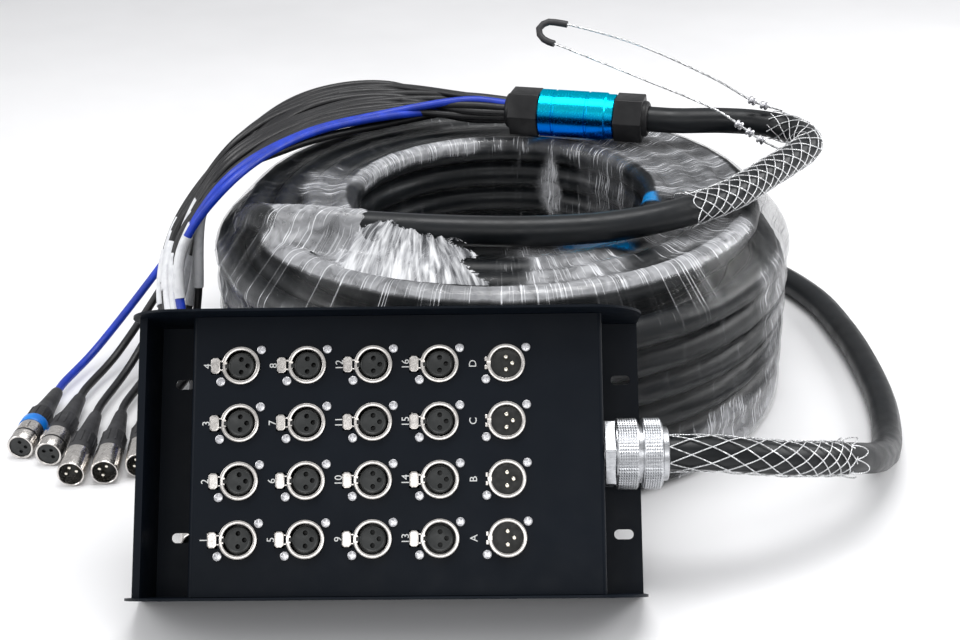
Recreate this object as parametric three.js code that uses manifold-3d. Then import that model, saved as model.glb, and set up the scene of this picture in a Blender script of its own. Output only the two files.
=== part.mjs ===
// Stage box snake: a folded steel stage box that leans back on a wrapped coil of multicore cable.
// Millimetres. X runs along the box, Y away from its front, Z up from the floor.
import * as THREE from "three";
import { mergeVertices } from "three/addons/utils/BufferGeometryUtils.js";
import Module from "manifold-3d";

const wasm = await Module();
wasm.setup();

// Clearances
const SEAT_GAP = 0.3;
const SLEEVE_GAP = 1;
const CUT_OVERRUN = 2;
const WELD = 1e-4;

// Steel box. Its own frame has X along the box, -Y out of the panel and Z up the panel.
const SHEET = 1.5;
const BOX_HEIGHT = 169;
const BOX_RIGHT = 147;
const PANEL_WIDTH = 245;
const PANEL_DEPTH = 44;
const PANEL_FOLD_R = 3;
const WING_LEFT = 161;
const WING_REACH = 20;
const WING_CORNER_R = 32;
const END_WALL_X = 152;
const END_WALL_DEPTH = 43;
const END_LIP = 3;
const SLOT_LENGTH = 12;
const SLOT_WIDTH = 6;
const SLOT_INSET = 11;
const SLOT_RISE = 37;
const CORNER_SEGMENTS = 7;
const SLOT_END_SEGMENTS = 5;
const FOLD_SEGMENTS = 4;
const BOX_LEAN = THREE.MathUtils.degToRad(35.7);

// Connector field
const FEMALE_COLUMNS = 4;
const ROWS = 4;
const COLUMN_PITCH = 39.5;
const ROW_PITCH = 34.3;
const FIRST_COLUMN_X = -93;
const FIRST_ROW_Z = 34.6;

// Flanged round jack, seen from outside the panel
const JACK_OUTER_R = 11.5;
const JACK_BORE_R = 9.6;
const JACK_PROUD = 2.5;
const JACK_BODY_DEPTH = 20;
const INSERT_R = 7.9;
const INSERT_RECESS = 1.2;
const KEYWAY_DEPTH = 12;
const CONTACT_R = 1.5;
const CONTACT_CIRCLE_R = 3.8;
const CONTACT_DEPTH = 9;
const SOCKET_DEPTH = 11;
const PIN_R = 1.2;
const PIN_RECESS = 1.5;
const RING_NOTCH_WIDTH = 3.2;
const FLANGE_WIDTH = 31;
const FLANGE_HEIGHT = 26;
const FLANGE_THICK = 1.8;
const JACK_SEGMENTS = 14;
const CONTACT_SEGMENTS = 4;

// Push tab of a female jack
const TAB_WIDTH = 5.4;
const TAB_HEIGHT = 9.4;
const TAB_CHAMFER = 1.1;
const TAB_PROUD = 2;
const TAB_DEPTH = 8;
const TAB_CLEARANCE = 1;
const TAB_OFFSET = JACK_OUTER_R + TAB_CLEARANCE + TAB_WIDTH / 2;

// Cable gland on the right side wall of the panel
const GLAND_AXIS_FROM_BACK = 23.4;
const GLAND_HEX_R = 22.2;
const GLAND_HEX_LENGTH = 7;
const GLAND_NECK_R = 16;
const GLAND_INSIDE_LENGTH = 9;
const GLAND_RING_R = 21.6;
const GLAND_RING_LENGTH = 13;
const GLAND_CAP_LENGTH = 11.5;
const GLAND_GROOVE = 2.6;
const GLAND_COLLAR_R = 16.4;
const GLAND_COLLAR_LENGTH = 4;
const GLAND_CHAMFER = 1.2;
const GLAND_SEGMENTS = 18;
const GLAND_GAPS = 3;
const HEX_SIDES = 6;

// Multicore trunk cable and its coil
const CABLE_D = 21;
const TURN_PITCH = 21.6;
const COIL_OUTER_TURN_R = 204;
const COIL_COLUMNS = 5;
const COIL_LAYERS = 7;
const COIL_CENTRE_X = 61.8;
const LOOP_STEPS = 20;
const CLIMB_STEPS = 4;
const CORD_SIDES = 6;
const LEAD_SIDES = 8;
const COIL_START_DEG = 108;
const COIL_END_DEG = 180;

// Stretch film round the coil
const FILM_GAP = 0.6;
const FILM_THICK = 1;
const FILM_CORNER_R = 6;
const FILM_SHOULDER_DEG = 45;
const FILM_RIM_DEG = 60;
const FILM_FLOOR_GAP = 3;
const FILM_TEAR_R = 15;
const FILM_TEAR_STEPS = 5;

// Wire mesh grips and the pulling eye
const GRIP_WALL = 1;
const GRIP_SIDES = 10;
const EYE_WIRE_R = 1.3;
const EYE_SLEEVE_R = 3.4;
const EYE_SIDES = 5;

// Fan-out housing, along its own axis from the trunk end
const INLET_DOME_LENGTH = 4.2;
const INLET_NUT_LENGTH = 22.5;
const NUT_AF = 35;
const DOME_R = 14.5;
const BARREL_R = 19;
const BARREL_LENGTH = 61.5;
const BARREL_GROOVE = 1;
const BARREL_GROOVE_SHARES = [0.36, 0.8];
const BARREL_COLLAR_LENGTH = 6.6;
const OUTLET_NUT_LENGTH = 24;
const FAN_OUT_FROM_CENTRE = new THREE.Vector2(119.4, 94);
const FAN_OUT_HEADING_DEG = 165.7;
const FAN_OUT_SEGMENTS = 14;

// Tails and their plugs
const TAIL_R = 3.2;
const TAIL_SIDES = 5;
const TAIL_STEPS = 8;
const TAIL_BUNDLE_R = 11;
const TAIL_BUNDLE_LENGTH = 10;
const TAIL_RUN_OUT = 30;
const TAIL_BOOT_RUN = 13;
const TAIL_SEAT_CIRCLE_R = 6.8;
const TAIL_SEAT_FIRST = 1.4;
const TAIL_SEAT_SPAN = 0.8;
const PLUG_SHELL_R = 9.5;
const PLUG_BORE_R = 8.2;
const PLUG_SHELL_LENGTH = 24;
const PLUG_BODY_R = 9;
const PLUG_BODY_LENGTH = 26;
const PLUG_BOOT_R = 7;
const PLUG_BOOT_TIP_R = 4.6;
const PLUG_BOOT_LENGTH = 32;
const PLUG_SOCKET_DEPTH = 13;
const PLUG_PIN_LENGTH = 11;
const PLUG_SEGMENTS = 12;

// Sizes that follow from the ones above
const ROW_HEIGHT_0 = CABLE_D / 2;
const COIL_TOP = ROW_HEIGHT_0 + (COIL_LAYERS - 1) * TURN_PITCH + CABLE_D / 2;
const FILM_TOP = COIL_TOP + FILM_GAP + FILM_THICK;
const COIL_BORE_TURN_R = COIL_OUTER_TURN_R - (COIL_COLUMNS - 1) * TURN_PITCH;
const WING_DEPTH = PANEL_DEPTH + WING_REACH;
const BOX_REAR_Y = (WING_DEPTH * Math.cos(BOX_LEAN) - BOX_HEIGHT * Math.sin(BOX_LEAN)) / 2;
const SHOULDER_REACH = (CABLE_D / 2 + FILM_GAP + FILM_THICK) * Math.cos(THREE.MathUtils.degToRad(FILM_SHOULDER_DEG));
const SHOULDER_R = COIL_OUTER_TURN_R + SHOULDER_REACH;
const SHOULDER_Z = ROW_HEIGHT_0 + (COIL_LAYERS - 2) * TURN_PITCH + SHOULDER_REACH;
const BACK_PLATE_Y_AT_SHOULDER = BOX_REAR_Y + SHOULDER_Z * Math.tan(BOX_LEAN);
const COIL_CENTRE = new THREE.Vector2(
  COIL_CENTRE_X,
  BACK_PLATE_Y_AT_SHOULDER + SEAT_GAP / Math.cos(BOX_LEAN) + SHOULDER_R,
);
const GLAND_REACH =
  GLAND_HEX_LENGTH + GLAND_RING_LENGTH + GLAND_CAP_LENGTH + GLAND_COLLAR_LENGTH + GLAND_GROOVE + GLAND_GAPS * SEAT_GAP;

// Paints and metals
const finish = (color, roughness, metalness) => new THREE.MeshStandardMaterial({ color, roughness, metalness });
const BLACK_COAT = finish(0x101114, 0.5, 0.2);
const NICKEL = finish(0xb9b9b6, 0.25, 1);
const SATIN_ALUMINIUM = finish(0xc9cbce, 0.4, 1);
const CABLE_JACKET = finish(0x0e0f11, 0.45, 0);
const CLEAR_FILM = finish(0xd8dde0, 0.15, 0);
const STEEL_WIRE = finish(0x9a9c9f, 0.35, 1);
const BLUE_ANODISED = finish(0x1e8fd0, 0.3, 0.9);
const BLACK_NYLON = finish(0x0b0c0e, 0.55, 0);

const root = new THREE.Group();

// A closed geometry as a solid that can be cut and joined.
function solidFrom(geometry) {
  const bare = geometry.index ? geometry.toNonIndexed() : geometry.clone();
  bare.deleteAttribute("normal");
  bare.deleteAttribute("uv");
  const merged = mergeVertices(bare, WELD);
  const vertProperties = merged.attributes.position.array;
  const triVerts = new Uint32Array(merged.index.array);
  return new wasm.Manifold(new wasm.Mesh({ numProp: 3, vertProperties, triVerts }));
}

function geometryFrom(solid) {
  const cut = solid.getMesh();
  const geometry = new THREE.BufferGeometry();
  geometry.setAttribute("position", new THREE.BufferAttribute(Float32Array.from(cut.vertProperties), 3));
  geometry.setIndex(new THREE.BufferAttribute(Uint32Array.from(cut.triVerts), 1));
  geometry.computeVertexNormals();
  return geometry;
}

function joined(...geometries) {
  return geometries.map(solidFrom).reduce((sum, part) => sum.add(part));
}

function addPiece(name, shape, material, parent = root) {
  const mesh = new THREE.Mesh(shape.isBufferGeometry ? shape : geometryFrom(shape), material);
  mesh.name = name;
  parent.add(mesh);
  return mesh;
}

// A block between two opposite corners.
function block(low, high) {
  const size = new THREE.Vector3().subVectors(high, low);
  const middle = new THREE.Vector3().addVectors(low, high).divideScalar(2);
  return new THREE.BoxGeometry(size.x, size.y, size.z).translate(middle.x, middle.y, middle.z);
}

const at = (x, y, z) => new THREE.Vector3(x, y, z);

// A place over the coil, from its axis and from the top of its film.
const overCoil = (x, y, rise) => at(COIL_CENTRE.x + x, COIL_CENTRE.y + y, FILM_TOP + rise);

// A turned piece whose profile is given as [radius, station along +X].
function turnedAlongX(profile, segments) {
  const points = profile.map(([radius, station]) => new THREE.Vector2(radius, station));
  return new THREE.LatheGeometry(points, segments).rotateZ(-Math.PI / 2);
}

// A turned piece whose stations run out of the panel, along -Y.
function turnedOutwards(profile, segments) {
  const points = profile.map(([radius, station]) => new THREE.Vector2(radius, station));
  return new THREE.LatheGeometry(points, segments).rotateX(Math.PI);
}

// Column and row places of the connector field
const columnX = (column) => FIRST_COLUMN_X + column * COLUMN_PITCH;
const rowZ = (row) => FIRST_ROW_Z + row * ROW_PITCH;

function wingGeometry(bottomZ) {
  const corner = WING_CORNER_R;
  const outline = new THREE.Shape();
  outline.moveTo(-WING_LEFT, 0);
  outline.lineTo(-WING_LEFT, -WING_DEPTH + corner);
  outline.absarc(-WING_LEFT + corner, -WING_DEPTH + corner, corner, Math.PI, Math.PI * 1.5, false);
  outline.lineTo(BOX_RIGHT - corner, -WING_DEPTH);
  outline.absarc(BOX_RIGHT - corner, -WING_DEPTH + corner, corner, Math.PI * 1.5, Math.PI * 2, false);
  outline.lineTo(BOX_RIGHT, 0);
  const options = { depth: SHEET, bevelEnabled: false, curveSegments: CORNER_SEGMENTS };
  const wing = new THREE.ExtrudeGeometry(outline, options);
  return wing.translate(0, 0, bottomZ);
}

function slotCutter(x, z) {
  const end = SLOT_WIDTH / 2;
  const half = SLOT_LENGTH / 2 - end;
  const outline = new THREE.Shape();
  outline.absarc(half, 0, end, -Math.PI / 2, Math.PI / 2, false);
  outline.absarc(-half, 0, end, Math.PI / 2, Math.PI * 1.5, false);
  const depth = SHEET + 2 * CUT_OVERRUN;
  const options = { depth, bevelEnabled: false, curveSegments: SLOT_END_SEGMENTS };
  const cutter = new THREE.ExtrudeGeometry(outline, options);
  return cutter.rotateX(Math.PI / 2).translate(x, CUT_OVERRUN, z);
}

// Back plate, left end wall with its lip, and the two wings, folded and welded as one piece.
function makeChassis(parent) {
  const backPlate = block(at(-END_WALL_X, -SHEET, 0), at(BOX_RIGHT, 0, BOX_HEIGHT));
  const endWall = block(at(-END_WALL_X, -END_WALL_DEPTH, 0), at(-END_WALL_X + SHEET, 0, BOX_HEIGHT));
  const lip = block(
    at(-END_WALL_X - END_LIP, -END_WALL_DEPTH, 0),
    at(-END_WALL_X + SHEET, -END_WALL_DEPTH + SHEET, BOX_HEIGHT),
  );
  let chassis = joined(backPlate, endWall, lip, wingGeometry(0), wingGeometry(BOX_HEIGHT - SHEET));
  const slotX = BOX_RIGHT - SLOT_INSET;
  for (const x of [-slotX, slotX]) {
    for (const z of [SLOT_RISE, BOX_HEIGHT - SLOT_RISE]) {
      chassis = chassis.subtract(solidFrom(slotCutter(x, z)));
    }
  }
  addPiece("box_chassis", chassis, BLACK_COAT, parent);
}

function panelOutline() {
  const half = PANEL_WIDTH / 2;
  const foot = -SHEET - SEAT_GAP;
  const fold = PANEL_FOLD_R;
  const outline = new THREE.Shape();
  outline.moveTo(-half, foot);
  outline.lineTo(-half, -PANEL_DEPTH + fold);
  outline.absarc(-half + fold, -PANEL_DEPTH + fold, fold, Math.PI, Math.PI * 1.5, false);
  outline.lineTo(half - fold, -PANEL_DEPTH);
  outline.absarc(half - fold, -PANEL_DEPTH + fold, fold, Math.PI * 1.5, Math.PI * 2, false);
  outline.lineTo(half, foot);
  outline.lineTo(half - SHEET, foot);
  outline.lineTo(half - SHEET, -PANEL_DEPTH + SHEET);
  outline.lineTo(-half + SHEET, -PANEL_DEPTH + SHEET);
  outline.lineTo(-half + SHEET, foot);
  return outline;
}

// The raised connector panel: one sheet folded to a channel, with a hole for each jack and push tab.
function makePanel(parent) {
  const wallHeight = BOX_HEIGHT - 2 * (SHEET + SEAT_GAP);
  const options = { depth: wallHeight, bevelEnabled: false, curveSegments: FOLD_SEGMENTS };
  const channel = new THREE.ExtrudeGeometry(panelOutline(), options).translate(0, 0, SHEET + SEAT_GAP);
  let panel = solidFrom(channel);
  const cutDepth = SHEET + 2 * CUT_OVERRUN;
  const cutMiddle = -PANEL_DEPTH + SHEET / 2;
  const holeR = JACK_OUTER_R + SEAT_GAP;
  for (let column = 0; column <= FEMALE_COLUMNS; column++) {
    for (let row = 0; row < ROWS; row++) {
      const hole = new THREE.CylinderGeometry(holeR, holeR, cutDepth, JACK_SEGMENTS);
      panel = panel.subtract(solidFrom(hole.translate(columnX(column), cutMiddle, rowZ(row))));
      if (column < FEMALE_COLUMNS) {
        const window = new THREE.BoxGeometry(TAB_WIDTH + 2 * SEAT_GAP, cutDepth, TAB_HEIGHT + 2 * SEAT_GAP);
        window.translate(columnX(column) - TAB_OFFSET, cutMiddle, rowZ(row));
        panel = panel.subtract(solidFrom(window));
      }
    }
  }
  const glandHoleR = GLAND_NECK_R + SEAT_GAP;
  const glandHole = new THREE.CylinderGeometry(glandHoleR, glandHoleR, cutDepth, GLAND_SEGMENTS);
  glandHole.rotateZ(Math.PI / 2).translate(PANEL_WIDTH / 2, -GLAND_AXIS_FROM_BACK, BOX_HEIGHT / 2);
  addPiece("connector_panel", panel.subtract(solidFrom(glandHole)), BLACK_COAT, parent);
}

// Mounting flange behind the panel, shared by both kinds of jack.
function jackFlange(leftSide) {
  const front = SHEET + SEAT_GAP;
  const low = at(leftSide, front, -FLANGE_HEIGHT / 2);
  return block(low, at(FLANGE_WIDTH / 2, front + FLANGE_THICK, FLANGE_HEIGHT / 2));
}

// Three contacts, at the top, right and bottom of the jack, between two stations out of the panel.
function contactCylinders(radius, from, to) {
  return [0, 1, 2].map((turn) => {
    const angle = Math.PI / 2 - (turn * Math.PI) / 2;
    const contact = new THREE.CylinderGeometry(radius, radius, to - from, CONTACT_SEGMENTS);
    const x = CONTACT_CIRCLE_R * Math.cos(angle);
    return contact.translate(x, -(from + to) / 2, CONTACT_CIRCLE_R * Math.sin(angle));
  });
}

// The jack's round body, from its rear face to the ring that stands proud of the panel.
function jackBarrel() {
  const profile = [
    [0, -JACK_BODY_DEPTH],
    [JACK_OUTER_R, -JACK_BODY_DEPTH],
    [JACK_OUTER_R, JACK_PROUD],
    [0, JACK_PROUD],
  ];
  return turnedOutwards(profile, JACK_SEGMENTS);
}

function femaleJackSolid() {
  const face = JACK_PROUD - INSERT_RECESS;
  const keyway = [
    [0, face],
    [INSERT_R, face],
    [INSERT_R, JACK_PROUD - KEYWAY_DEPTH],
    [JACK_BORE_R, JACK_PROUD - KEYWAY_DEPTH],
    [JACK_BORE_R, JACK_PROUD + CUT_OVERRUN],
    [0, JACK_PROUD + CUT_OVERRUN],
  ];
  let jack = joined(jackBarrel(), jackFlange(-TAB_OFFSET + TAB_WIDTH / 2 + SEAT_GAP));
  jack = jack.subtract(solidFrom(turnedOutwards(keyway, JACK_SEGMENTS)));
  for (const hole of contactCylinders(CONTACT_R, face - CONTACT_DEPTH, face + CUT_OVERRUN)) {
    jack = jack.subtract(solidFrom(hole));
  }
  return jack;
}

function maleJackSolid() {
  const floor = JACK_PROUD - SOCKET_DEPTH;
  const socket = [
    [0, floor],
    [JACK_BORE_R, floor],
    [JACK_BORE_R, JACK_PROUD + CUT_OVERRUN],
    [0, JACK_PROUD + CUT_OVERRUN],
  ];
  const notch = block(
    at(-JACK_OUTER_R - CUT_OVERRUN, -JACK_PROUD - CUT_OVERRUN, -RING_NOTCH_WIDTH / 2),
    at(-JACK_BORE_R + CUT_OVERRUN, -SEAT_GAP, RING_NOTCH_WIDTH / 2),
  );
  const shell = joined(jackBarrel(), jackFlange(-FLANGE_WIDTH / 2));
  const open = shell.subtract(solidFrom(turnedOutwards(socket, JACK_SEGMENTS))).subtract(solidFrom(notch));
  const pins = contactCylinders(PIN_R, floor - CUT_OVERRUN, JACK_PROUD - PIN_RECESS);
  return open.add(joined(...pins));
}

// A push tab: a chamfered block that stands proud of the panel and is pressed in along its depth.
function pushTabGeometry() {
  const x = TAB_WIDTH / 2;
  const z = TAB_HEIGHT / 2;
  const cut = TAB_CHAMFER;
  const outline = new THREE.Shape();
  outline.moveTo(-x + cut, -z);
  outline.lineTo(x - cut, -z);
  outline.lineTo(x, -z + cut);
  outline.lineTo(x, z - cut);
  outline.lineTo(x - cut, z);
  outline.lineTo(-x + cut, z);
  outline.lineTo(-x, z - cut);
  outline.lineTo(-x, -z + cut);
  const tab = new THREE.ExtrudeGeometry(outline, { depth: TAB_PROUD + TAB_DEPTH, bevelEnabled: false });
  return tab.rotateX(Math.PI / 2).translate(0, TAB_DEPTH, 0);
}

function makeJacks(parent) {
  const female = geometryFrom(femaleJackSolid());
  const male = geometryFrom(maleJackSolid());
  const tab = pushTabGeometry();
  for (let column = 0; column < FEMALE_COLUMNS; column++) {
    for (let row = 0; row < ROWS; row++) {
      const number = column * ROWS + row + 1;
      const jack = addPiece(`input_jack_${number}`, female, NICKEL, parent);
      jack.position.set(columnX(column), -PANEL_DEPTH, rowZ(row));
      const latch = addPiece(`push_tab_${number}`, tab, NICKEL, parent);
      latch.position.set(columnX(column) - TAB_OFFSET, -PANEL_DEPTH, rowZ(row));
    }
  }
  ["a", "b", "c", "d"].forEach((letter, row) => {
    const jack = addPiece(`return_jack_${letter}`, male, NICKEL, parent);
    jack.position.set(columnX(FEMALE_COLUMNS), -PANEL_DEPTH, rowZ(row));
  });
}

// Gland stations run along +X from the outer face of the panel's side wall.
function glandBodySolid(neckEnd) {
  const inside = -SHEET - GLAND_INSIDE_LENGTH;
  const profile = [
    [0, inside],
    [GLAND_NECK_R, inside],
    [GLAND_NECK_R, neckEnd],
    [0, neckEnd],
  ];
  const hex = new THREE.CylinderGeometry(GLAND_HEX_R, GLAND_HEX_R, GLAND_HEX_LENGTH, HEX_SIDES).rotateZ(Math.PI / 2);
  hex.translate(SEAT_GAP + GLAND_HEX_LENGTH / 2, 0, 0);
  return joined(turnedAlongX(profile, GLAND_SEGMENTS), hex);
}

function glandRingSolid(start) {
  const bore = GLAND_NECK_R + SEAT_GAP;
  const end = start + GLAND_RING_LENGTH;
  const profile = [
    [bore, start],
    [GLAND_RING_R - GLAND_CHAMFER, start],
    [GLAND_RING_R, start + GLAND_CHAMFER],
    [GLAND_RING_R, end - GLAND_CHAMFER],
    [GLAND_RING_R - GLAND_CHAMFER, end],
    [bore, end],
    [bore, start],
  ];
  return turnedAlongX(profile, GLAND_SEGMENTS);
}

function glandCapSolid(start, neckEnd) {
  const bore = GLAND_NECK_R + SEAT_GAP;
  const ringStart = start + GLAND_GROOVE;
  const ringEnd = ringStart + GLAND_CAP_LENGTH;
  const end = ringEnd + GLAND_COLLAR_LENGTH;
  const profile = [
    [0, neckEnd + SEAT_GAP],
    [bore, neckEnd + SEAT_GAP],
    [bore, start],
    [GLAND_RING_R - 2 * GLAND_CHAMFER, start],
    [GLAND_RING_R - 2 * GLAND_CHAMFER, ringStart],
    [GLAND_RING_R, ringStart + GLAND_CHAMFER],
    [GLAND_RING_R, ringEnd - GLAND_CHAMFER],
    [GLAND_RING_R - GLAND_CHAMFER, ringEnd],
    [GLAND_COLLAR_R, ringEnd],
    [GLAND_COLLAR_R, end],
    [0, end],
  ];
  return turnedAlongX(profile, GLAND_SEGMENTS);
}

function makeGland(parent) {
  const ringStart = GLAND_HEX_LENGTH + 2 * SEAT_GAP;
  const capStart = ringStart + GLAND_RING_LENGTH + SEAT_GAP;
  const neckEnd = capStart + GLAND_CAP_LENGTH / 2;
  const gland = new THREE.Group();
  gland.position.set(PANEL_WIDTH / 2, -GLAND_AXIS_FROM_BACK, BOX_HEIGHT / 2);
  parent.add(gland);
  addPiece("gland_body", glandBodySolid(neckEnd), SATIN_ALUMINIUM, gland);
  addPiece("gland_lock_ring", glandRingSolid(ringStart), SATIN_ALUMINIUM, gland);
  addPiece("gland_cap", glandCapSolid(capStart, neckEnd), SATIN_ALUMINIUM, gland);
}

// The box stands on the rear edge of its lower wing and leans back on the coil.
function makeBox() {
  const box = new THREE.Group();
  const rightmost = PANEL_WIDTH / 2 + GLAND_REACH;
  box.rotation.x = -BOX_LEAN;
  box.position.set((WING_LEFT - rightmost) / 2, BOX_REAR_Y, 0);
  root.add(box);
  makeChassis(box);
  makePanel(box);
  makeJacks(box);
  makeGland(box);
  box.updateMatrixWorld(true);
  return box;
}

// A regular section for a round cord, with a vertex on its local X axis.
function cordSection(radius, sides, holeRadius = 0) {
  const ring = (r) =>
    Array.from({ length: sides }, (_, i) => {
      const angle = (2 * Math.PI * i) / sides;
      return new THREE.Vector2(r * Math.cos(angle), r * Math.sin(angle));
    });
  const section = new THREE.Shape(ring(radius));
  if (holeRadius > 0) {
    section.holes.push(new THREE.Path(ring(holeRadius)));
  }
  return section;
}

// A straight-sided path through points that are already spaced along a cord.
class StationPath extends THREE.Curve {
  constructor(stations) {
    super();
    this.stations = stations;
  }

  getPoint(t, target = new THREE.Vector3()) {
    const place = t * (this.stations.length - 1);
    const index = Math.min(Math.floor(place), this.stations.length - 2);
    return target.lerpVectors(this.stations[index], this.stations[index + 1], place - index);
  }
}

// Chosen places along a path, each a share of its length, taken as the steps of a tube.
class PathPlaces extends THREE.Curve {
  constructor(path, shares) {
    super();
    this.path = path;
    this.shares = shares;
  }

  getUtoTmapping(share) {
    return share;
  }

  shareAt(t) {
    const place = t * (this.shares.length - 1);
    const index = Math.min(Math.floor(place), this.shares.length - 2);
    return THREE.MathUtils.lerp(this.shares[index], this.shares[index + 1], place - index);
  }

  getPoint(t, target = new THREE.Vector3()) {
    return this.path.getPointAt(this.shareAt(t), target);
  }

  getTangent(t, target = new THREE.Vector3()) {
    return this.path.getTangentAt(this.shareAt(t), target);
  }
}

function cordAlong(path, steps, radius, sides, holeRadius = 0) {
  const options = { steps, extrudePath: path, bevelEnabled: false };
  return new THREE.ExtrudeGeometry(cordSection(radius, sides, holeRadius), options);
}

// Cells of the coil's cross-section, as [column, layer], in the order that the cable fills them.
function coilCells() {
  const lastColumn = COIL_COLUMNS - 1;
  const lastLayer = COIL_LAYERS - 1;
  const cells = [];
  for (let layer = 0; layer < lastLayer; layer++) cells.push([lastColumn, layer]);
  for (let column = lastColumn - 1; column > 1; column--) cells.push([column, lastLayer - 1]);
  for (let layer = lastLayer - 1; layer >= 0; layer--) cells.push([1, layer]);
  for (let layer = 0; layer <= lastLayer; layer++) cells.push([0, layer]);
  for (let column = 1; column < lastColumn; column++) cells.push([column, lastLayer]);
  return cells;
}

// The step at which the cable leaves each cell. At a corner it leaves early, so that turns never cross.
function climbStarts(cells, firstClimb) {
  const starts = [firstClimb];
  for (let i = 2; i < cells.length; i++) {
    const sameLayerBefore = cells[i - 1][1] === cells[i - 2][1];
    const sameLayerAfter = cells[i][1] === cells[i - 1][1];
    const early = sameLayerBefore === sameLayerAfter ? 0 : CLIMB_STEPS;
    starts.push(starts[starts.length - 1] + LOOP_STEPS - early);
  }
  return starts;
}

function cellPlace(cells, starts, step) {
  const passed = starts.filter((start) => start <= step).length;
  if (passed === 0) return cells[0];
  const share = Math.min((step - starts[passed - 1]) / CLIMB_STEPS, 1);
  const eased = (1 - Math.cos(Math.PI * share)) / 2;
  return [0, 1].map((axis) => THREE.MathUtils.lerp(cells[passed - 1][axis], cells[passed][axis], eased));
}

function coilPoint(angle, column, layer) {
  const radius = COIL_BORE_TURN_R + column * TURN_PITCH;
  const x = COIL_CENTRE.x + radius * Math.cos(angle);
  return new THREE.Vector3(x, COIL_CENTRE.y + radius * Math.sin(angle), ROW_HEIGHT_0 + layer * TURN_PITCH);
}

const COIL_START = THREE.MathUtils.degToRad(COIL_START_DEG);
const STEP_ANGLE = (2 * Math.PI) / LOOP_STEPS;

function coilStations() {
  const cells = coilCells();
  const starts = climbStarts(cells, LOOP_STEPS - CLIMB_STEPS - 1);
  const lastClimb = starts[starts.length - 1] + CLIMB_STEPS;
  const endAngle = THREE.MathUtils.degToRad(COIL_END_DEG) - COIL_START;
  const endStep = Math.round(endAngle / STEP_ANGLE);
  const turns = Math.ceil((lastClimb - endStep) / LOOP_STEPS);
  const steps = turns * LOOP_STEPS + endStep;
  const stations = [];
  for (let step = 0; step <= steps; step++) {
    const [column, layer] = cellPlace(cells, starts, step);
    stations.push(coilPoint(COIL_START + step * STEP_ANGLE, column, layer));
  }
  return stations;
}

// Each end runs on straight for one cable diameter.
function withStraightEnds(stations) {
  const lead = (from, to) => new THREE.Vector3().subVectors(from, to).setLength(CABLE_D).add(from);
  const last = stations.length - 1;
  return [lead(stations[0], stations[1]), ...stations, lead(stations[last], stations[last - 1])];
}

// The least gap between turns, measured between stations that lie more than half a turn apart.
function leastTurnGap(stations) {
  let least = Infinity;
  stations.forEach((station, i) => {
    for (let j = i + LOOP_STEPS / 2; j < stations.length; j++) {
      least = Math.min(least, station.distanceTo(stations[j]) - CABLE_D);
    }
  });
  return least;
}

// One unbroken tube through the stations, with its section upright at each one.
function woundTube(stations) {
  const up = new THREE.Vector3(0, 0, 1);
  const positions = [];
  stations.forEach((station, i) => {
    const before = stations[Math.max(i - 1, 0)];
    const after = stations[Math.min(i + 1, stations.length - 1)];
    const ahead = new THREE.Vector3().subVectors(after, before).normalize();
    const side = new THREE.Vector3().crossVectors(ahead, up).normalize();
    const top = new THREE.Vector3().crossVectors(side, ahead);
    for (let k = 0; k < CORD_SIDES; k++) {
      const angle = (2 * Math.PI * k) / CORD_SIDES;
      const corner = station.clone().addScaledVector(side, (CABLE_D / 2) * Math.cos(angle));
      positions.push(corner.addScaledVector(top, (CABLE_D / 2) * Math.sin(angle)));
    }
  });
  const faces = [];
  for (let i = 0; i < stations.length - 1; i++) {
    for (let k = 0; k < CORD_SIDES; k++) {
      const next = (k + 1) % CORD_SIDES;
      const a = i * CORD_SIDES + k;
      const b = i * CORD_SIDES + next;
      faces.push(a, a + CORD_SIDES, b, b, a + CORD_SIDES, b + CORD_SIDES);
    }
  }
  const far = (stations.length - 1) * CORD_SIDES;
  for (let k = 1; k < CORD_SIDES - 1; k++) {
    faces.push(0, k, k + 1);
    faces.push(far, far + k + 1, far + k);
  }
  const geometry = new THREE.BufferGeometry().setFromPoints(positions).setIndex(faces);
  geometry.computeVertexNormals();
  return geometry;
}

// The inner turns of the coil, as one plain ring under the wound layers.
function coilCoreGeometry() {
  const inner = COIL_BORE_TURN_R + TURN_PITCH + CABLE_D / 2 + FILM_GAP;
  const outer = COIL_OUTER_TURN_R - CABLE_D / 2 - FILM_GAP;
  const top = (COIL_LAYERS - 2) * TURN_PITCH - FILM_GAP;
  const profile = [
    [inner, 0],
    [outer, 0],
    [outer, top],
    [inner, top],
    [inner, 0],
  ];
  return turnedRoundCoil(profile);
}

// A ring turned about the coil's upright axis, with its facets in line with the steps of the turns.
function turnedRoundCoil(profile) {
  const points = profile.map(([radius, height]) => new THREE.Vector2(radius, height));
  const ring = new THREE.LatheGeometry(points, LOOP_STEPS).rotateX(Math.PI / 2);
  return ring.rotateZ(COIL_START + Math.PI / 2).translate(COIL_CENTRE.x, COIL_CENTRE.y, 0);
}

// A point on the round of a turn's film, at a height in degrees above level, seen from the turn's centre.
function roundTurn(turnR, layer, degrees, offset) {
  const angle = THREE.MathUtils.degToRad(degrees);
  const reach = CABLE_D / 2 + FILM_GAP + offset;
  const height = ROW_HEIGHT_0 + layer * TURN_PITCH;
  return [turnR + reach * Math.cos(angle), height + reach * Math.sin(angle)];
}

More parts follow.
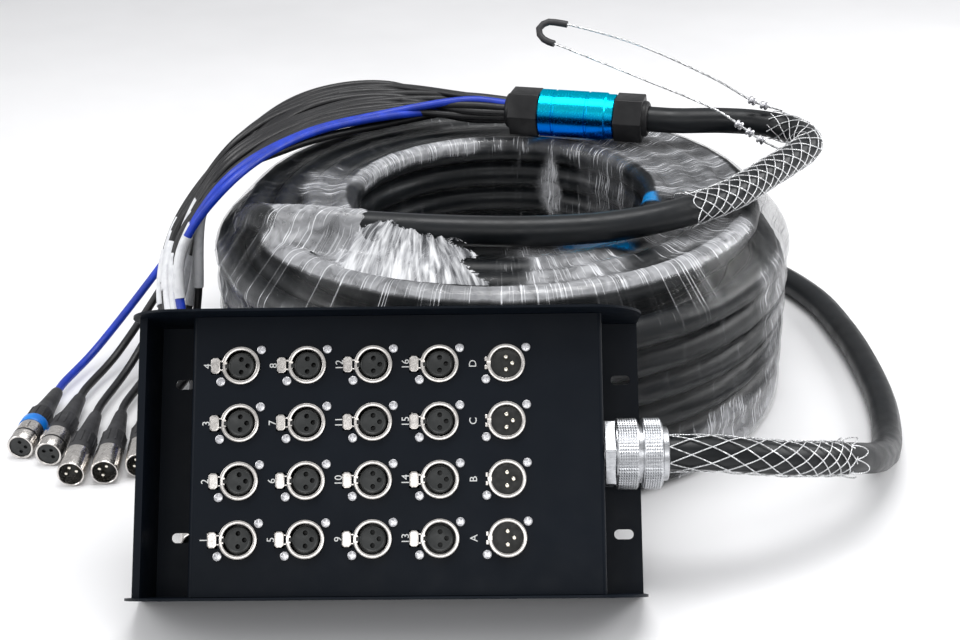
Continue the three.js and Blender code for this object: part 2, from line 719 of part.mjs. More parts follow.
// The film's section: up the outside, over a shoulder to the narrower top layer and down the bore.
function filmProfile() {
  const rimTurnR = COIL_OUTER_TURN_R - TURN_PITCH;
  const bore = COIL_BORE_TURN_R - CABLE_D / 2 - FILM_GAP;
  const top = COIL_TOP + FILM_GAP;
  const skin = (offset) => {
    const wall = [0, FILM_SHOULDER_DEG].map((degrees) =>
      roundTurn(COIL_OUTER_TURN_R, COIL_LAYERS - 2, degrees, offset),
    );
    const rim = [FILM_SHOULDER_DEG, FILM_RIM_DEG, 90].map((degrees) =>
      roundTurn(rimTurnR, COIL_LAYERS - 1, degrees, offset),
    );
    const boreEdge = [
      [bore + FILM_CORNER_R, top + offset],
      [bore - offset, top - FILM_CORNER_R],
    ];
    return [[wall[0][0], FILM_FLOOR_GAP], ...wall, ...rim, ...boreEdge, [bore - offset, FILM_FLOOR_GAP]];
  };
  const outward = skin(FILM_THICK);
  return [...outward, ...skin(0).reverse(), outward[0]];
}

// Lead from the gland to the coil, after its first straight stretch. It lies on the floor behind.
const BOX_LEAD_ROUTE = [
  at(237, 23, 68),
  at(281, 52, 50),
  at(306, 80, 33),
  at(323, 112, 18),
  at(333, 146, 11.2),
  at(340, 190, 10.9),
  at(342, 246, 10.9),
  at(338, 309, 10.9),
  at(325, 376, 10.9),
  at(291, 440, 10.9),
  at(235, 486, 10.9),
  at(167, 510, 10.9),
  at(99, 511, 10.9),
];

// Lead from the coil's last turn over its top, out to the right and back to the fan-out.
const FAN_LEAD_ROUTE = [
  overCoil(-178, -52, -3.5),
  overCoil(-161, -79, 6),
  overCoil(-133, -94, 10.9),
  overCoil(-92, -104, 10.9),
  overCoil(-31, -114, 10.9),
  overCoil(26, -117, 10.9),
  overCoil(77, -112, 11.7),
  overCoil(123, -95, 13.7),
  overCoil(163, -62, 13.7),
  overCoil(196, -20, 14.2),
  overCoil(221, 12, 15.2),
  overCoil(236, 36, 16.2),
  overCoil(231, 65, 17.2),
  overCoil(208, 82, 18.4),
  overCoil(178, 88, 19.2),
];

const FAN_OUT_HEADING = THREE.MathUtils.degToRad(FAN_OUT_HEADING_DEG);
const fanOutAxis = at(Math.cos(FAN_OUT_HEADING), Math.sin(FAN_OUT_HEADING), 0);

function fanOutPoint(station, side = 0, rise = 0) {
  const across = at(-fanOutAxis.y, fanOutAxis.x, 0);
  const point = overCoil(FAN_OUT_FROM_CENTRE.x, FAN_OUT_FROM_CENTRE.y, SEAT_GAP + BARREL_R + rise);
  return point.addScaledVector(fanOutAxis, station).addScaledVector(across, side);
}

function boxLeadPath(box, coilEnd) {
  const mouth = at(PANEL_WIDTH / 2 + GLAND_REACH + SEAT_GAP, -GLAND_AXIS_FROM_BACK, BOX_HEIGHT / 2);
  box.localToWorld(mouth);
  const [end, before] = coilEnd;
  const back = new THREE.Vector3().subVectors(end, before).normalize();
  const meet = end.clone().addScaledVector(back, SEAT_GAP);
  const straightOut = mouth.clone().add(at(CABLE_D, 0, 0));
  const straightIn = meet.clone().addScaledVector(back, CABLE_D);
  return new THREE.CatmullRomCurve3([mouth, straightOut, ...BOX_LEAD_ROUTE, straightIn, meet], false, "centripetal");
}

function fanLeadPath(coilEnd) {
  const [end, before] = coilEnd;
  const out = new THREE.Vector3().subVectors(end, before).normalize();
  const start = end.clone().addScaledVector(out, SEAT_GAP);
  const straight = start.clone().addScaledVector(out, CABLE_D);
  const nutFace = fanOutPoint(-SEAT_GAP);
  const beforeNut = fanOutPoint(-SEAT_GAP - CABLE_D);
  return new THREE.CatmullRomCurve3([start, straight, ...FAN_LEAD_ROUTE, beforeNut, nutFace], false, "centripetal");
}

function leadGeometry(path, steps) {
  return cordAlong(path, steps, CABLE_D / 2, LEAD_SIDES);
}

// A mesh grip: a sleeve over some of the steps of a lead, clear of its jacket all round.
function gripSleeve(path, steps, fromStep, toStep) {
  const shares = Array.from({ length: toStep - fromStep + 1 }, (_, i) => (fromStep + i) / steps);
  shares[0] += GRIP_START_SHARE / steps;
  const inscribed = Math.cos(Math.PI / GRIP_SIDES);
  const bore = (CABLE_D / 2 + SLEEVE_GAP) / inscribed;
  return cordAlong(new PathPlaces(path, shares), toStep - fromStep, bore + GRIP_WALL, GRIP_SIDES, bore);
}

const BOX_LEAD_STEPS = 18;
const FAN_LEAD_STEPS = 22;
const BOX_GRIP_LAST_STEP = 3;
const FAN_GRIP_FIRST_STEP = 12;
const FAN_GRIP_LAST_STEP = 19;
const GRIP_START_SHARE = 0.06;

function makeTrunk(box) {
  const turns = withStraightEnds(coilStations());
  console.log(`coil_winding least gap between turns: ${leastTurnGap(turns).toFixed(2)} mm`);
  addPiece("coil_winding", woundTube(turns), CABLE_JACKET);
  addPiece("coil_core", coilCoreGeometry(), CABLE_JACKET);
  const last = turns.length - 1;
  const boxPath = boxLeadPath(box, [turns[0], turns[1]]);
  const fanPath = fanLeadPath([turns[last], turns[last - 1]]);
  addPiece("trunk_lead_to_box", leadGeometry(boxPath, BOX_LEAD_STEPS), CABLE_JACKET);
  addPiece("trunk_lead_to_fan_out", leadGeometry(fanPath, FAN_LEAD_STEPS), CABLE_JACKET);
  addPiece("mesh_grip_box_end", gripSleeve(boxPath, BOX_LEAD_STEPS, 0, BOX_GRIP_LAST_STEP), STEEL_WIRE);
  const fanGrip = gripSleeve(fanPath, FAN_LEAD_STEPS, FAN_GRIP_FIRST_STEP, FAN_GRIP_LAST_STEP);
  addPiece("mesh_grip_fan_end", fanGrip, STEEL_WIRE);
  const boxTunnel = filmCutter([turns[2], ...boxPath.getSpacedPoints(BOX_LEAD_STEPS).reverse()]);
  const fanTear = filmCutter([turns[last - 2], ...fanPath.getSpacedPoints(FAN_LEAD_STEPS)]);
  const film = solidFrom(turnedRoundCoil(filmProfile()));
  addPiece("stretch_film", film.subtract(boxTunnel).subtract(fanTear), CLEAR_FILM);
}

// The room that a lead needs where it passes through the film, from inside the coil outwards.
function filmCutter(stations) {
  const near = stations.slice(0, FILM_TEAR_STEPS + 1);
  return solidFrom(cordAlong(new StationPath(near), FILM_TEAR_STEPS, FILM_TEAR_R, LEAD_SIDES));
}

// Pulling eye: a doubled steel wire that springs up from the end of the fan-out grip, with a sleeved tip.
const EYE_ROUTE = [
  overCoil(210.7, 22, 18),
  overCoil(196, 25.6, 25),
  overCoil(167, 40, 42),
  overCoil(107, 75, 60),
  overCoil(50.5, 109, 75.3),
  overCoil(35, 117.7, 79.7),
  overCoil(31.7, 122.1, 85.8),
  overCoil(37.7, 124.4, 91),
  overCoil(48, 122.4, 91),
  overCoil(106, 103, 79),
  overCoil(167, 81.4, 56),
  overCoil(201.4, 77, 37),
  overCoil(222, 75, 31),
];
const EYE_STEPS = 22;
const EYE_SLEEVE_FIRST_STEP = 9;
const EYE_SLEEVE_LAST_STEP = 12;

function makePullingEye() {
  const path = new THREE.CatmullRomCurve3(EYE_ROUTE, false, "centripetal");
  const tip = path.getSpacedPoints(EYE_STEPS).slice(EYE_SLEEVE_FIRST_STEP, EYE_SLEEVE_LAST_STEP + 1);
  const wire = cordAlong(path, EYE_STEPS, EYE_WIRE_R, EYE_SIDES);
  const sleeve = cordAlong(new StationPath(tip), tip.length - 1, EYE_SLEEVE_R, EYE_SIDES);
  addPiece("pulling_eye", joined(wire, sleeve), STEEL_WIRE);
}

function nutSolid(hexStart, hexEnd, domeStart, domeEnd) {
  const corner = NUT_AF / 2 / Math.cos(Math.PI / 6);
  const hex = new THREE.CylinderGeometry(corner, corner, hexEnd - hexStart, HEX_SIDES).rotateY(Math.PI / 6);
  hex.rotateZ(Math.PI / 2).translate((hexStart + hexEnd) / 2, 0, 0);
  const dome = turnedAlongX(
    [
      [0, domeStart],
      [DOME_R, domeStart],
      [DOME_R, domeEnd],
      [0, domeEnd],
    ],
    FAN_OUT_SEGMENTS,
  );
  return joined(hex, dome);
}

function barrelSolid(start) {
  const end = start + BARREL_LENGTH;
  const collar = start + BARREL_COLLAR_LENGTH;
  const grooves = BARREL_GROOVE_SHARES.flatMap((share) => {
    const place = start + BARREL_LENGTH * share;
    return [
      [BARREL_R, place - BARREL_GROOVE],
      [BARREL_R - BARREL_GROOVE, place],
      [BARREL_R, place + BARREL_GROOVE],
    ];
  });
  const profile = [
    [0, start],
    [BARREL_R - BARREL_GROOVE, start],
    [BARREL_R - BARREL_GROOVE, collar],
    [BARREL_R, collar + BARREL_GROOVE],
    ...grooves,
    [BARREL_R, end - BARREL_GROOVE],
    [BARREL_R - BARREL_GROOVE, end],
    [0, end],
  ];
  return turnedAlongX(profile, FAN_OUT_SEGMENTS);
}

const BARREL_START = INLET_DOME_LENGTH + INLET_NUT_LENGTH + SEAT_GAP;
const OUTLET_START = BARREL_START + BARREL_LENGTH + SEAT_GAP;
const FAN_OUT_END = OUTLET_START + OUTLET_NUT_LENGTH + INLET_DOME_LENGTH;

function makeFanOut() {
  const housing = new THREE.Group();
  housing.position.copy(fanOutPoint(0));
  housing.rotation.z = FAN_OUT_HEADING;
  root.add(housing);
  const inletEnd = INLET_DOME_LENGTH + INLET_NUT_LENGTH;
  const inlet = nutSolid(INLET_DOME_LENGTH, inletEnd, 0, inletEnd);
  const outletHexEnd = OUTLET_START + OUTLET_NUT_LENGTH;
  const outlet = nutSolid(OUTLET_START, outletHexEnd, OUTLET_START, FAN_OUT_END);
  addPiece("fan_out_inlet_nut", inlet, BLACK_NYLON, housing);
  addPiece("fan_out_barrel", barrelSolid(BARREL_START), BLUE_ANODISED, housing);
  addPiece("fan_out_outlet_nut", outlet, BLACK_NYLON, housing);
}

// Plugs that lie in view: centre of the mouth, heading in degrees, whether it is a socket plug,
// and the stations that its tail takes from the fan-out.
const TAIL_PLUGS = [
  {
    mouth: at(-283, 143, 9.8),
    heading: 267,
    socket: true,
    route: [at(-26, 443, 179), at(-86, 432, 175), at(-145, 385, 158), at(-198, 346, 87), at(-262, 285, 17)],
  },
  {
    mouth: at(-260, 133, 9.8),
    heading: 269,
    socket: true,
    route: [at(-28, 436, 175), at(-94, 415, 171), at(-152, 363, 154), at(-194, 329, 82), at(-243, 278, 17)],
  },
  {
    mouth: at(-237, 106, 9.8),
    heading: 272,
    socket: false,
    route: [at(-30, 429, 171), at(-100, 399, 168), at(-157, 343, 150), at(-190, 312, 78), at(-228, 262, 17)],
  },
  {
    mouth: at(-214, 108, 9.8),
    heading: 275,
    socket: false,
    route: [at(-31, 420, 168), at(-103, 382, 166), at(-160, 326, 148), at(-186, 300, 74), at(-211, 258, 17)],
  },
  {
    mouth: at(-192, 117, 9.8),
    heading: 278,
    socket: false,
    route: [at(-29, 412, 165), at(-104, 364, 164), at(-160, 308, 147), at(-180, 287, 69), at(-195, 254, 17)],
  },
  {
    mouth: at(-171, 121, 9.8),
    heading: 281,
    socket: false,
    route: [at(-26, 404, 162), at(-104, 345, 162), at(-160, 289, 146), at(-174, 272, 65), at(-180, 248, 17)],
  },
];
const PLUG_LENGTH = PLUG_SHELL_LENGTH + PLUG_BODY_LENGTH + PLUG_BOOT_LENGTH;

// Stations run from the boot's tip, at minus the plug's length, to the mouth at zero.
function plugSolid(isSocket) {
  const bodyStart = -PLUG_SHELL_LENGTH - PLUG_BODY_LENGTH;
  const socketFace = isSocket ? -INSERT_RECESS : -PLUG_SOCKET_DEPTH;
  const bore = isSocket ? INSERT_R : PLUG_BORE_R;
  const profile = [
    [0, -PLUG_LENGTH],
    [PLUG_BOOT_TIP_R, -PLUG_LENGTH],
    [PLUG_BOOT_R, bodyStart],
    [PLUG_BODY_R, bodyStart + PLUG_BOOT_TIP_R],
    [PLUG_BODY_R, -PLUG_SHELL_LENGTH],
    [PLUG_SHELL_R, -PLUG_SHELL_LENGTH],
    [PLUG_SHELL_R, 0],
    [bore, 0],
    [bore, socketFace],
    [0, socketFace],
  ];
  const body = turnedAlongX(profile, PLUG_SEGMENTS);
  const from = isSocket ? socketFace - CONTACT_DEPTH : socketFace - CUT_OVERRUN;
  const to = isSocket ? socketFace + CUT_OVERRUN : socketFace + PLUG_PIN_LENGTH;
  const contacts = contactCylinders(isSocket ? CONTACT_R : PIN_R, from, to);
  const turned = contacts.map((contact) => solidFrom(contact.rotateZ(Math.PI / 2)));
  return turned.reduce((sum, contact) => (isSocket ? sum.subtract(contact) : sum.add(contact)), solidFrom(body));
}

function makeTails() {
  const bundleStart = fanOutPoint(FAN_OUT_END + SEAT_GAP);
  const bundle = turnedAlongX(
    [
      [0, 0],
      [TAIL_BUNDLE_R, 0],
      [TAIL_BUNDLE_R, TAIL_BUNDLE_LENGTH],
      [0, TAIL_BUNDLE_LENGTH],
    ],
    PLUG_SEGMENTS,
  );
  bundle.rotateZ(FAN_OUT_HEADING).translate(bundleStart.x, bundleStart.y, bundleStart.z);
  let loom = solidFrom(bundle);
  TAIL_PLUGS.forEach(({ mouth, heading, socket, route }, i) => {
    const angle = THREE.MathUtils.degToRad(heading);
    const facing = at(Math.cos(angle), Math.sin(angle), 0);
    const plug = addPiece(`tail_plug_${i + 1}`, plugSolid(socket), socket ? NICKEL : BLACK_NYLON);
    plug.position.copy(mouth);
    plug.rotation.z = angle;
    const boot = mouth.clone().addScaledVector(facing, -PLUG_LENGTH - SEAT_GAP);
    const beforeBoot = boot.clone().addScaledVector(facing, -TAIL_BOOT_RUN);
    const seatAngle = Math.PI * (TAIL_SEAT_FIRST - (TAIL_SEAT_SPAN * i) / (TAIL_PLUGS.length - 1));
    const side = TAIL_SEAT_CIRCLE_R * Math.cos(seatAngle);
    const rise = TAIL_SEAT_CIRCLE_R * Math.sin(seatAngle);
    const seat = fanOutPoint(FAN_OUT_END + TAIL_BUNDLE_LENGTH / 2, side, rise);
    const out = fanOutPoint(FAN_OUT_END + TAIL_RUN_OUT, side, rise);
    const path = new THREE.CatmullRomCurve3([seat, out, ...route, beforeBoot, boot], false, "centripetal");
    loom = loom.add(solidFrom(cordAlong(path, TAIL_STEPS, TAIL_R, TAIL_SIDES)));
  });
  addPiece("tail_loom", loom, CABLE_JACKET);
}

const box = makeBox();
makeTrunk(box);
makePullingEye();
makeFanOut();
makeTails();

export default root;
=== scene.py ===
"""Stage box snake: a folded steel stage box that leans on a film-wrapped coil of multicore cable.

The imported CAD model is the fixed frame. Every piece is made in metres, in that frame, by one operator.
"""

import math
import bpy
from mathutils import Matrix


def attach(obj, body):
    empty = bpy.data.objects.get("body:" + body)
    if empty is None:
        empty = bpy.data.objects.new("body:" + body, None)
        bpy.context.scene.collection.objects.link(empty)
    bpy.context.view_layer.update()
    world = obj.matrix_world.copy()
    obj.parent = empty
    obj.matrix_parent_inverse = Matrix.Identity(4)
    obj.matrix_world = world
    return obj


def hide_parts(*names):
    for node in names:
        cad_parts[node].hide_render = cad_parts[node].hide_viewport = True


bl_info = {
    "name": "Stage Box Snake",
    "version": (1, 0, 0),
    "blender": (4, 5, 0),
    "location": "3D View > Sidebar > Snake",
    "description": "Builds the looks of a stage box snake round its packed CAD model",
    "category": "Object",
}

import bmesh
import bpy
import numpy as np
from bpy.props import FloatProperty, FloatVectorProperty, PointerProperty
from mathutils import Matrix, Vector, noise

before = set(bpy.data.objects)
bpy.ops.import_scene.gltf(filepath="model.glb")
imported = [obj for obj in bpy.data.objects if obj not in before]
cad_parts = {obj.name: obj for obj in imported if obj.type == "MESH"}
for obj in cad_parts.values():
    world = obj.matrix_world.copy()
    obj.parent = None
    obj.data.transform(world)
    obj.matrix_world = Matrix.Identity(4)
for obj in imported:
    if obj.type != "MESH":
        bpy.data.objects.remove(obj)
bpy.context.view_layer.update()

MM = 0.001
TAU = 2 * math.pi


def level(angle):
    """The level direction at an angle round the vertical."""
    return Vector((math.cos(angle), math.sin(angle), 0))


# The box: its own frame has X along it, -Y out of the panel and Z up the panel
BOX_LEAN = math.radians(35.7)
BOX_HEIGHT = 169 * MM
PANEL_DEPTH = 44 * MM
PANEL_HALF_WIDTH = 122.5 * MM
WING_LEFT = 161 * MM
WING_DEPTH = 64 * MM
GLAND_REACH = 39 * MM
GLAND_AXIS_FROM_BACK = 23.4 * MM
KNURL_R = 21.1 * MM
COLUMN_X = [(-93 + 39.5 * column) * MM for column in range(5)]
ROW_Z = [(34.6 + 34.3 * row) * MM for row in range(4)]
TAB_SHIFT = -15.2 * MM
PRINT_SHIFT = -20.2 * MM
LETTER_SHIFT = -19.6 * MM
SCREW_SHIFT = (12 * MM, 9.5 * MM)
BOX_SHIFT_X = (WING_LEFT - PANEL_HALF_WIDTH - GLAND_REACH) / 2
BOX_FORWARD = WING_DEPTH * math.cos(BOX_LEAN)
BOX_BACK = BOX_HEIGHT * math.sin(BOX_LEAN)
BOX = Matrix.Translation((BOX_SHIFT_X, (BOX_FORWARD - BOX_BACK) / 2, 0)) @ Matrix.Rotation(-BOX_LEAN, 4, "X")

# The circle that a plug's or a jack's three contacts stand on, in millimetres
CONTACT_R = 3.8

# The coil. Its top layer has one column fewer, so the film slopes over a shoulder there
CABLE_R = 10.5 * MM
GRIP_R = CABLE_R + 0.3 * MM
GRIP_WIRE = 0.42 * MM
GRIP_STRANDS = 7
EYE_WIRE = 0.56 * MM
TURN_PITCH = 21.6 * MM
OUTER_TURN_R = 204 * MM
COLUMNS = 5
LAYERS = 7
FILM_REACH = 12.1 * MM
BORE_TURN_R = OUTER_TURN_R - (COLUMNS - 1) * TURN_PITCH
FILM_TOP = CABLE_R + (LAYERS - 1) * TURN_PITCH + FILM_REACH
SHOULDER_R = OUTER_TURN_R + FILM_REACH * math.cos(math.radians(45))
SHOULDER_Z = CABLE_R + (LAYERS - 2) * TURN_PITCH + FILM_REACH * math.sin(math.radians(45))
COIL_X = 61.8 * MM
COIL_Y = (BOX_FORWARD - BOX_BACK) / 2 + SHOULDER_Z * math.tan(BOX_LEAN) + SHOULDER_R + 0.37 * MM
LOOP_STEPS = 40
CLIMB_STEPS = 7
FIRST_CLIMB = 31
COIL_START = math.radians(108)
COIL_END = math.radians(180)

# The fan-out housing, along its own axis from the trunk end
FAN_OUT_HEADING = math.radians(165.7)
FAN_OUT_AXIS = level(FAN_OUT_HEADING)
BARREL_R = 19 * MM
FAN_OUT_GAP = 0.3 * MM
FAN_OUT_START = Vector((COIL_X + 119.4 * MM, COIL_Y + 94 * MM, FILM_TOP + FAN_OUT_GAP + BARREL_R))
FAN_OUT = Matrix.Translation(FAN_OUT_START) @ Matrix.Rotation(FAN_OUT_HEADING, 4, "Z")
BARREL_START = 27 * MM
BARREL_LENGTH = 61.5 * MM
NUT_AF = 35 * MM
NUT_DOME = 4.2 * MM
INLET_NUT = 22.5 * MM
OUTLET_NUT = 24 * MM
OUTLET_START = BARREL_START + BARREL_LENGTH + FAN_OUT_GAP
FAN_OUT_END = OUTLET_START + OUTLET_NUT + NUT_DOME


def place(x, y, z):
    """A place in the row frame, from millimetres."""
    return Vector((x * MM, y * MM, z * MM))


def over_coil(x, y, rise):
    """A place over the coil, in millimetres from its axis and from the top of its film."""
    return Vector((COIL_X + x * MM, COIL_Y + y * MM, FILM_TOP + rise * MM))


# Routes of the cable, as in the CAD model
BOX_LEAD_ROUTE = [
    place(*point)
    for point in (
        (237, 23, 68), (281, 52, 50), (306, 80, 33), (323, 112, 18), (333, 146, 11.2), (340, 190, 10.9),
        (342, 246, 10.9), (338, 309, 10.9), (325, 376, 10.9), (291, 440, 10.9), (235, 486, 10.9),
        (167, 510, 10.9), (99, 511, 10.9),
    )
]
FAN_LEAD_ROUTE = [
    over_coil(*point)
    for point in (
        (-178, -52, -3.5), (-161, -79, 6), (-133, -94, 10.9), (-92, -104, 10.9), (-31, -114, 10.9),
        (26, -117, 10.9), (77, -112, 11.7), (123, -95, 13.7), (163, -62, 13.7), (196, -20, 14.2),
        (221, 12, 15.2), (236, 36, 16.2), (231, 65, 17.2), (208, 82, 18.4), (178, 88, 19.2),
    )
]
EYE_ROUTE = [
    over_coil(*point)
    for point in (
        (210.7, 22, 18), (196, 25.6, 25), (167, 40, 42), (107, 75, 60), (50.5, 109, 75.3), (35, 117.7, 79.7),
        (31.7, 122.1, 85.8), (37.7, 124.4, 91), (48, 122.4, 91), (106, 103, 79), (167, 81.4, 56),
        (201.4, 77, 37), (222, 75, 31),
    )
]

# The plugs: how high their axis lies on the floor in millimetres, how far the boot reaches, and its ribs
PLUG_R = 9.8
BOOT_END = 81 * MM
RIBS = 10

# The tails that show: the mouth of the plug, its heading in degrees, its kind, the tail's colour and its places
TAILS = [
    (
        (-283, 143, PLUG_R), 267, "ringed", "blue",
        [(-26, 443, 179), (-86, 432, 175), (-145, 385, 158), (-198, 346, 87), (-262, 285, 17)],
    ),
    (
        (-260, 133, PLUG_R), 269, "socket", "black",
        [(-28, 436, 175), (-94, 415, 171), (-152, 363, 154), (-194, 329, 82), (-243, 278, 17)],
    ),
    (
        (-237, 106, PLUG_R), 272, "pins", "black",
        [(-30, 429, 171), (-100, 399, 168), (-157, 343, 150), (-190, 312, 78), (-228, 262, 17)],
    ),
    (
        (-214, 108, PLUG_R), 275, "pins", "black",
        [(-31, 420, 168), (-103, 382, 166), (-160, 326, 148), (-186, 300, 74), (-211, 258, 17)],
    ),
    (
        (-192, 117, PLUG_R), 278, "pins", "black",
        [(-29, 412, 165), (-104, 364, 164), (-160, 308, 147), (-180, 287, 69), (-195, 254, 17)],
    ),
    (
        (-171, 121, PLUG_R), 281, "pins", "black",
        [(-26, 404, 162), (-104, 345, 162), (-160, 289, 146), (-174, 272, 65), (-180, 248, 17)],
    ),
]


# Curves

def smooth_route(points, spacing):
    """A centripetal Catmull-Rom curve through points, as evenly spaced places."""
    guides = [2 * points[0] - points[1], *points, 2 * points[-1] - points[-2]]
    dense = []
    for p0, p1, p2, p3 in zip(guides, guides[1:], guides[2:], guides[3:]):
        d0, d1, d2 = (max(math.sqrt((b - a).length), 1e-6) for a, b in ((p0, p1), (p1, p2), (p2, p3)))
        m1 = ((p1 - p0) / d0 - (p2 - p0) / (d0 + d1) + (p2 - p1) / d1) * d1
        m2 = ((p2 - p1) / d1 - (p3 - p1) / (d1 + d2) + (p3 - p2) / d2) * d1
        for step in range(24):
            t = step / 24
            a = 2 * t**3 - 3 * t**2 + 1
            dense.append(a * p1 + (t**3 - 2 * t**2 + t) * m1 + (1 - a) * p2 + (t**3 - t**2) * m2)
    dense.append(points[-1].copy())
    return evenly(dense, spacing)


def evenly(points, spacing):
    """The same line with places an even distance apart."""
    lengths = [0.0]
    for a, b in zip(points, points[1:]):
        lengths.append(lengths[-1] + (b - a).length)
    count = max(2, round(lengths[-1] / spacing))
    out, index = [], 0
    for step in range(count + 1):
        target = lengths[-1] * step / count
        while index < len(points) - 2 and lengths[index + 1] < target:
            index += 1
        span = max(lengths[index + 1] - lengths[index], 1e-9)
        out.append(points[index].lerp(points[index + 1], (target - lengths[index]) / span))
    return out


def line_length(points):
    return sum((b - a).length for a, b in zip(points, points[1:]))


def coil_cells():
    """Cells of the coil's section as (column, layer): up and down the columns, then out over the top."""
    cells = []
    for turn, column in enumerate(range(COLUMNS - 1, -1, -1)):
        layers = range(LAYERS - 1) if turn % 2 == 0 else range(LAYERS - 2, -1, -1)
        cells += [(column, layer) for layer in layers]
    return cells + [(column, LAYERS - 1) for column in range(COLUMNS - 1)]


def climb_starts(cells, first):
    """The step at which the cable leaves each cell. It leaves corners early, so that turns never cross."""
    starts = [first]
    for before, here, after in zip(cells, cells[1:], cells[2:]):
        straight = (here[1] == before[1]) == (after[1] == here[1])
        starts.append(starts[-1] + LOOP_STEPS - (0 if straight else CLIMB_STEPS))
    return starts


def coil_stations():
    """Places along every turn of the coil, from its lowest outer turn to its highest."""
    cells = coil_cells()
    starts = climb_starts(cells, FIRST_CLIMB)
    step_angle = TAU / LOOP_STEPS
    end_step = round((COIL_END - COIL_START) / step_angle)
    last_climb = starts[-1] + CLIMB_STEPS
    steps = math.ceil((last_climb - end_step) / LOOP_STEPS) * LOOP_STEPS + end_step
    stations, passed = [], 0
    for step in range(steps + 1):
        while passed < len(starts) and starts[passed] <= step:
            passed += 1
        if passed == 0:
            column, layer = cells[0]
        else:
            share = min((step - starts[passed - 1]) / CLIMB_STEPS, 1)
            eased = (1 - math.cos(math.pi * share)) / 2
            column, layer = (a + (b - a) * eased for a, b in zip(cells[passed - 1], cells[passed]))
        radius = BORE_TURN_R + column * TURN_PITCH
        out = level(COIL_START + step * step_angle)
        stations.append(Vector((COIL_X, COIL_Y, CABLE_R + layer * TURN_PITCH)) + out * radius)
    return stations


def trunk_stations():
    """The whole trunk cable: out of the gland, round the coil and over it to the fan-out."""
    turns = coil_stations()
    mouth = BOX @ Vector((PANEL_HALF_WIDTH + GLAND_REACH, -GLAND_AXIS_FROM_BACK, BOX_HEIGHT / 2))
    straight = 2 * CABLE_R
    start_back = (turns[0] - turns[1]).normalized()
    end_on = (turns[-1] - turns[-2]).normalized()
    box_end = [mouth, mouth + Vector((straight, 0, 0)), *BOX_LEAD_ROUTE]
    box_end += [turns[0] + start_back * 2 * straight, turns[0] + start_back * straight, turns[0]]
    nut = FAN_OUT_START - FAN_OUT_AXIS * FAN_OUT_GAP
    fan_end = [turns[-1], turns[-1] + end_on * straight, turns[-1] + end_on * 2 * straight]
    fan_end += [*FAN_LEAD_ROUTE, nut - FAN_OUT_AXIS * straight, nut]
    return smooth_route(box_end, 9 * MM), turns, smooth_route(fan_end, 9 * MM)


BOX_LEAD, COIL_TURNS, FAN_LEAD = trunk_stations()


def frames_along(points):
    """A side and an up vector at each place of a line, turned as little as possible from place to place."""
    tangents = []
    for i in range(len(points)):
        tangents.append((points[min(i + 1, len(points) - 1)] - points[max(i - 1, 0)]).normalized())
    side = tangents[0].cross(Vector((0, 0, 1)))
    side = side.normalized() if side.length > 1e-3 else Vector((1, 0, 0))
    out = []
    for i, tangent in enumerate(tangents):
        if i:
            side = tangents[i - 1].rotation_difference(tangent) @ side
        side = (side - tangent * side.dot(tangent)).normalized()
        out.append((side, tangent.cross(side)))
    return out


def add_spline(data, line):
    """Adds one poly line to a curve."""
    spline = data.splines.new("POLY")
    spline.points.add(len(line) - 1)
    spline.points.foreach_set("co", [c for p in line for c in (*p, 1.0)])
    spline.use_smooth = True


def curve_piece(name, lines, radius, sides=2):
    """One curve object of bevelled poly lines. Its own lines are its centrelines."""
    data = bpy.data.curves.new(name, "CURVE")
    data.dimensions = "3D"
    data.bevel_depth = radius
    data.bevel_resolution = sides
    data.use_fill_caps = True
    for line in lines:
        add_spline(data, line)
    piece = bpy.data.objects.new(name, data)
    bpy.context.scene.collection.objects.link(piece)
    return piece


# Modelling by hand

def deselect():
    if bpy.context.object and bpy.context.object.mode != "OBJECT":
        bpy.ops.object.mode_set(mode="OBJECT")
    bpy.ops.object.select_all(action="DESELECT")


def make_active(piece):
    deselect()
    piece.select_set(True)
    bpy.context.view_layer.objects.active = piece
    return piece


def start_piece(add, name, **values):
    """A new primitive mesh. Its place is put into its points, so that its object sits at the origin."""
    deselect()
    add(**values)
    piece = bpy.context.object
    piece.name = piece.data.name = name
    bpy.ops.object.transform_apply(location=True, rotation=True, scale=True)
    return piece


def edit(piece, mode="FACE"):
    make_active(piece)
    bpy.ops.object.mode_set(mode="EDIT")
    bpy.ops.mesh.select_mode(type=mode)
    bpy.ops.mesh.select_all(action="DESELECT")


def select(piece, kind, test):
    """Selects the faces or edges that pass a test, in edit mode."""
    mesh = bmesh.from_edit_mesh(piece.data)
    for element in mesh.faces if kind == "faces" else mesh.edges:
        element.select_set(bool(test(element)))
    bmesh.update_edit_mesh(piece.data)


def leave_edit():
    bpy.ops.object.mode_set(mode="OBJECT")


def apply_modifiers(piece):
    make_active(piece)
    for modifier in list(piece.modifiers):
        bpy.ops.object.modifier_apply(modifier=modifier.name)


def bevel(piece, width, segments=2, angle=40):
    modifier = piece.modifiers.new("rounded edges", "BEVEL")
    modifier.width = width
    modifier.segments = segments
    modifier.limit_method = "ANGLE"
    modifier.angle_limit = math.radians(angle)
    modifier.harden_normals = False
    apply_modifiers(piece)


def clean(piece):
    edit(piece)
    bpy.ops.mesh.select_all(action="SELECT")
    bpy.ops.mesh.remove_doubles(threshold=1e-6)
    bpy.ops.mesh.normals_make_consistent(inside=False)
    leave_edit()


def smooth(piece, angle=35):
    make_active(piece)
    bpy.ops.object.shade_smooth_by_angle(angle=math.radians(angle))


